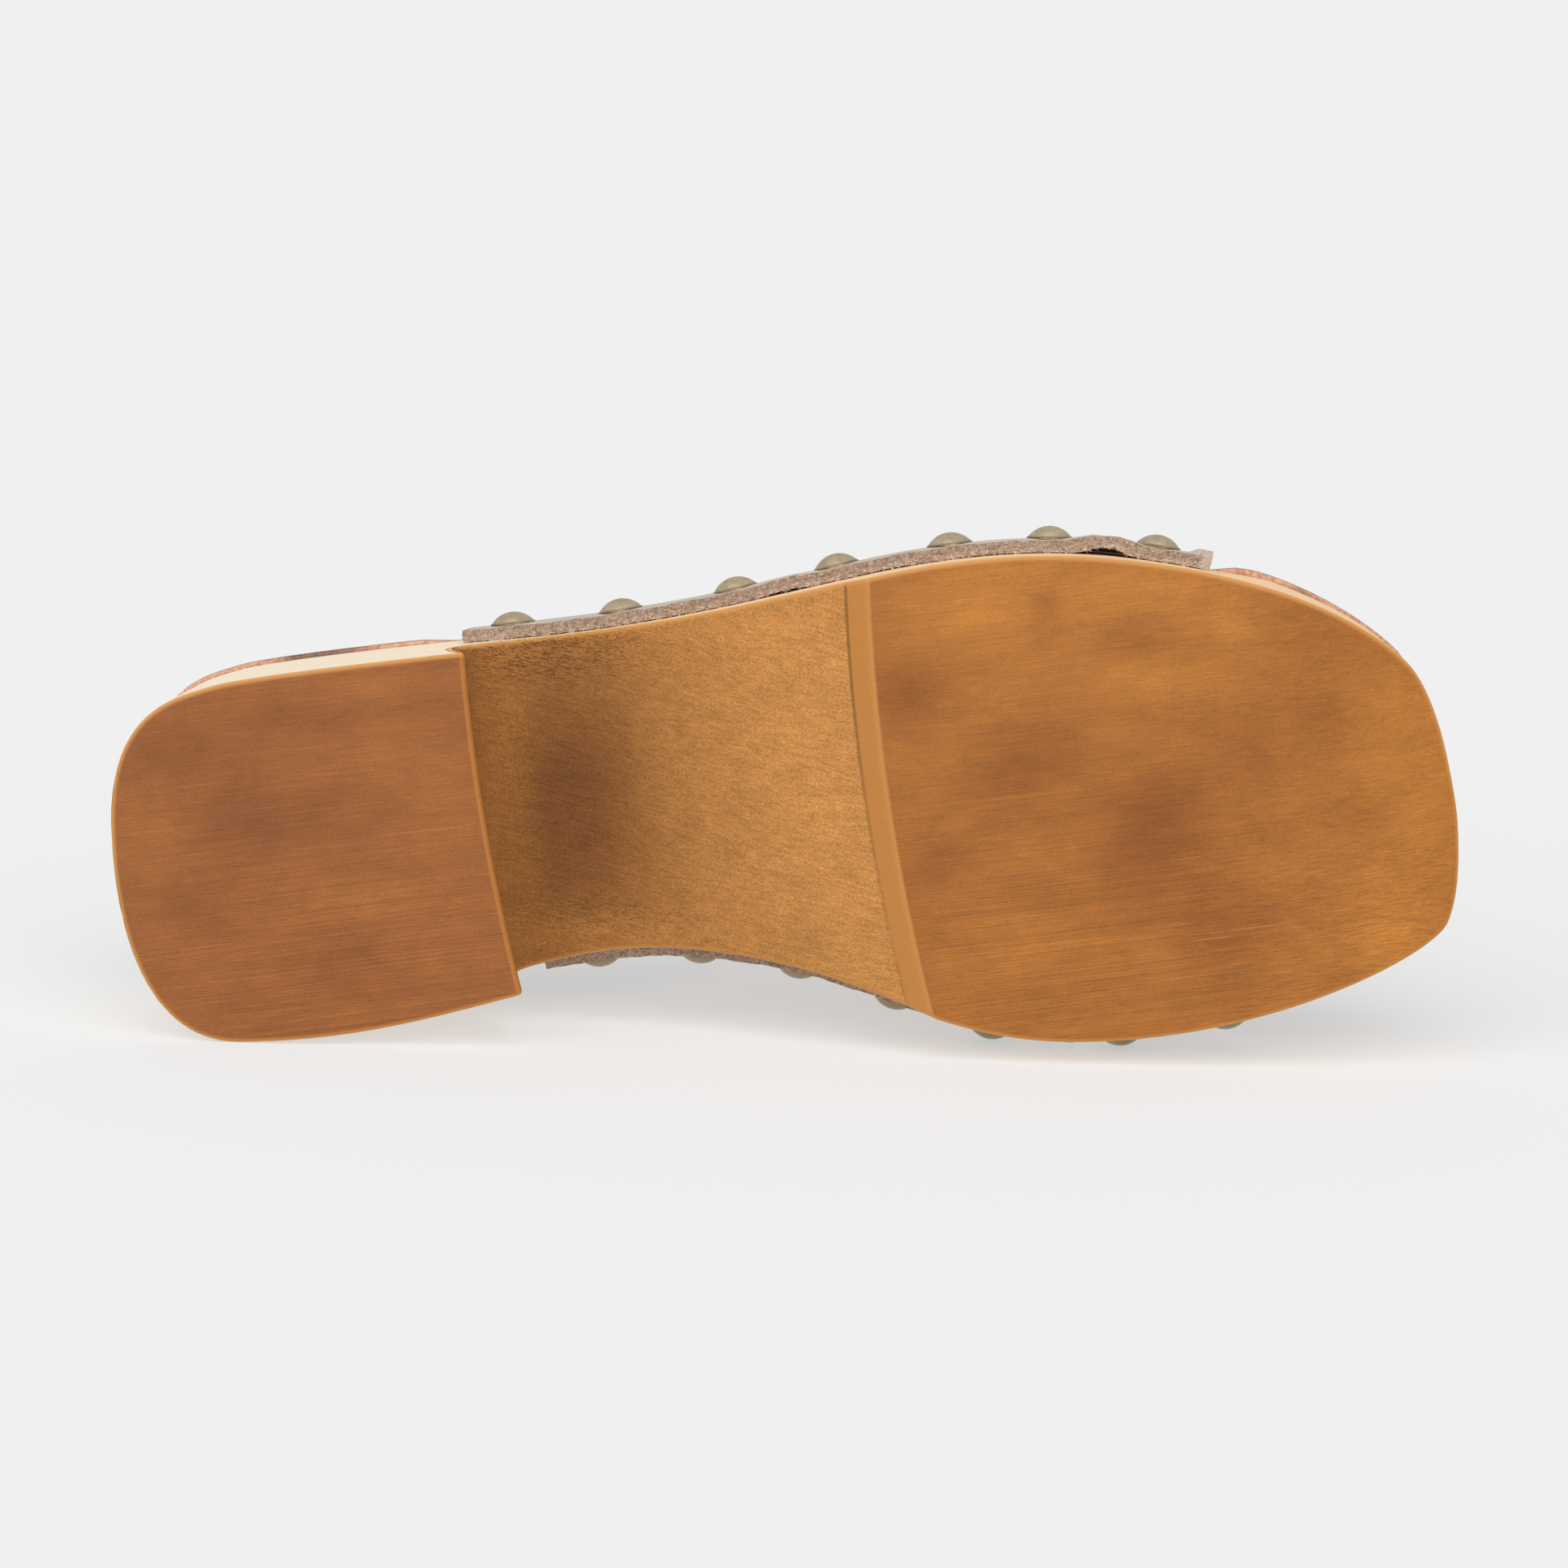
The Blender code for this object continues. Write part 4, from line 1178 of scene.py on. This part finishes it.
# Wooden block and the sheet on it
wood = wood_finish(zones)
add_piece("clog_sole", block, ring_faces(block), block_marks, wood, "wooden_sole")
sheet, sheet_marks = insole_rings()
tan = insole_finish()
add_piece("clog_insole", sheet, ring_faces(sheet), sheet_marks, tan, "insole")

# Leather upper with its loose fibres
rng = np.random.default_rng(SEED)
inner, outer, lip = upper_sheet()
points, faces, marks = sheet_faces(inner, outer, lip, rng)
add_piece("clog_upper", points, faces, marks, upper_finish(), "upper")
points, faces = fibres(inner, outer, rng)
add_piece("clog_upper_fibres", points, faces, {}, fibre_finish())

# Domed nails
head, out = stud_rings()
brass = stud_finish()
for side, nails, _ in STUD_ROWS:
    for number, along in enumerate(nails, 1):
        turn, spot = stud_place(side, along)
        placed = head @ turn.T + spot
        node = f"stud_{side}_{number}"
        # Inner-row nails carry the painted shade mark
        marks = {"out": out, "underside_shade": np.full(out.shape, float(side == "medial"))}
        add_piece(f"clog_{node}", placed, ring_faces(head), marks, brass, node)

# Floor
floor_mesh = bpy.data.meshes.new("studio_floor")
signs = ((-1, -1), (1, -1), (1, 1), (-1, 1))
corners = [(x * FLOOR_HALF, y * FLOOR_HALF, -FLOOR_DROP * MM) for x, y in signs]
floor_mesh.from_pydata(corners, [], [(0, 1, 2, 3)])
floor_mesh.materials.append(floor_finish())
floor = bpy.data.objects.new("studio_floor", floor_mesh)
bpy.context.scene.collection.objects.link(floor)

# Studio light: an even dome and one broad key from above the camera
world = bpy.data.worlds.new("studio")
world.use_nodes = True
dome = world.node_tree.nodes["Background"].inputs
dome["Color"].default_value = (1.0, 1.0, 1.0, 1.0)
dome["Strength"].default_value = DOME_LEVEL
bpy.context.scene.world = world
key = bpy.data.objects.new("key", bpy.data.lights.new("key", "SUN"))
key.data.energy = KEY_LEVEL
key.data.angle = math.radians(KEY_SOFTNESS_DEG)
key.rotation_euler = KEY_FROM.to_track_quat("Z", "Y").to_euler()
bpy.context.scene.collection.objects.link(key)
bpy.context.scene.view_settings.view_transform = "Standard"

# Camera square to the sole's length, a little above the sole's own normal
camera = bpy.data.objects.new("camera", bpy.data.cameras.new("camera"))
camera.data.sensor_width = SENSOR
camera.data.lens = SENSOR * PIXELS_PER_MM * CAMERA_DISTANCE / IMAGE_SIZE
rise = math.radians(CAMERA_RISE_DEG)
away = Vector((0.0, -math.sin(rise), -math.cos(rise)))
right = Vector((1.0, 0.0, 0.0))
stand = Matrix((right, away.cross(right), away)).transposed().to_4x4()
stand.translation = Vector((AIM_AT * MM, 0.0, 0.0)) + away * CAMERA_DISTANCE * MM
camera.matrix_world = REST @ stand
bpy.context.scene.collection.objects.link(camera)
bpy.context.scene.camera = camera
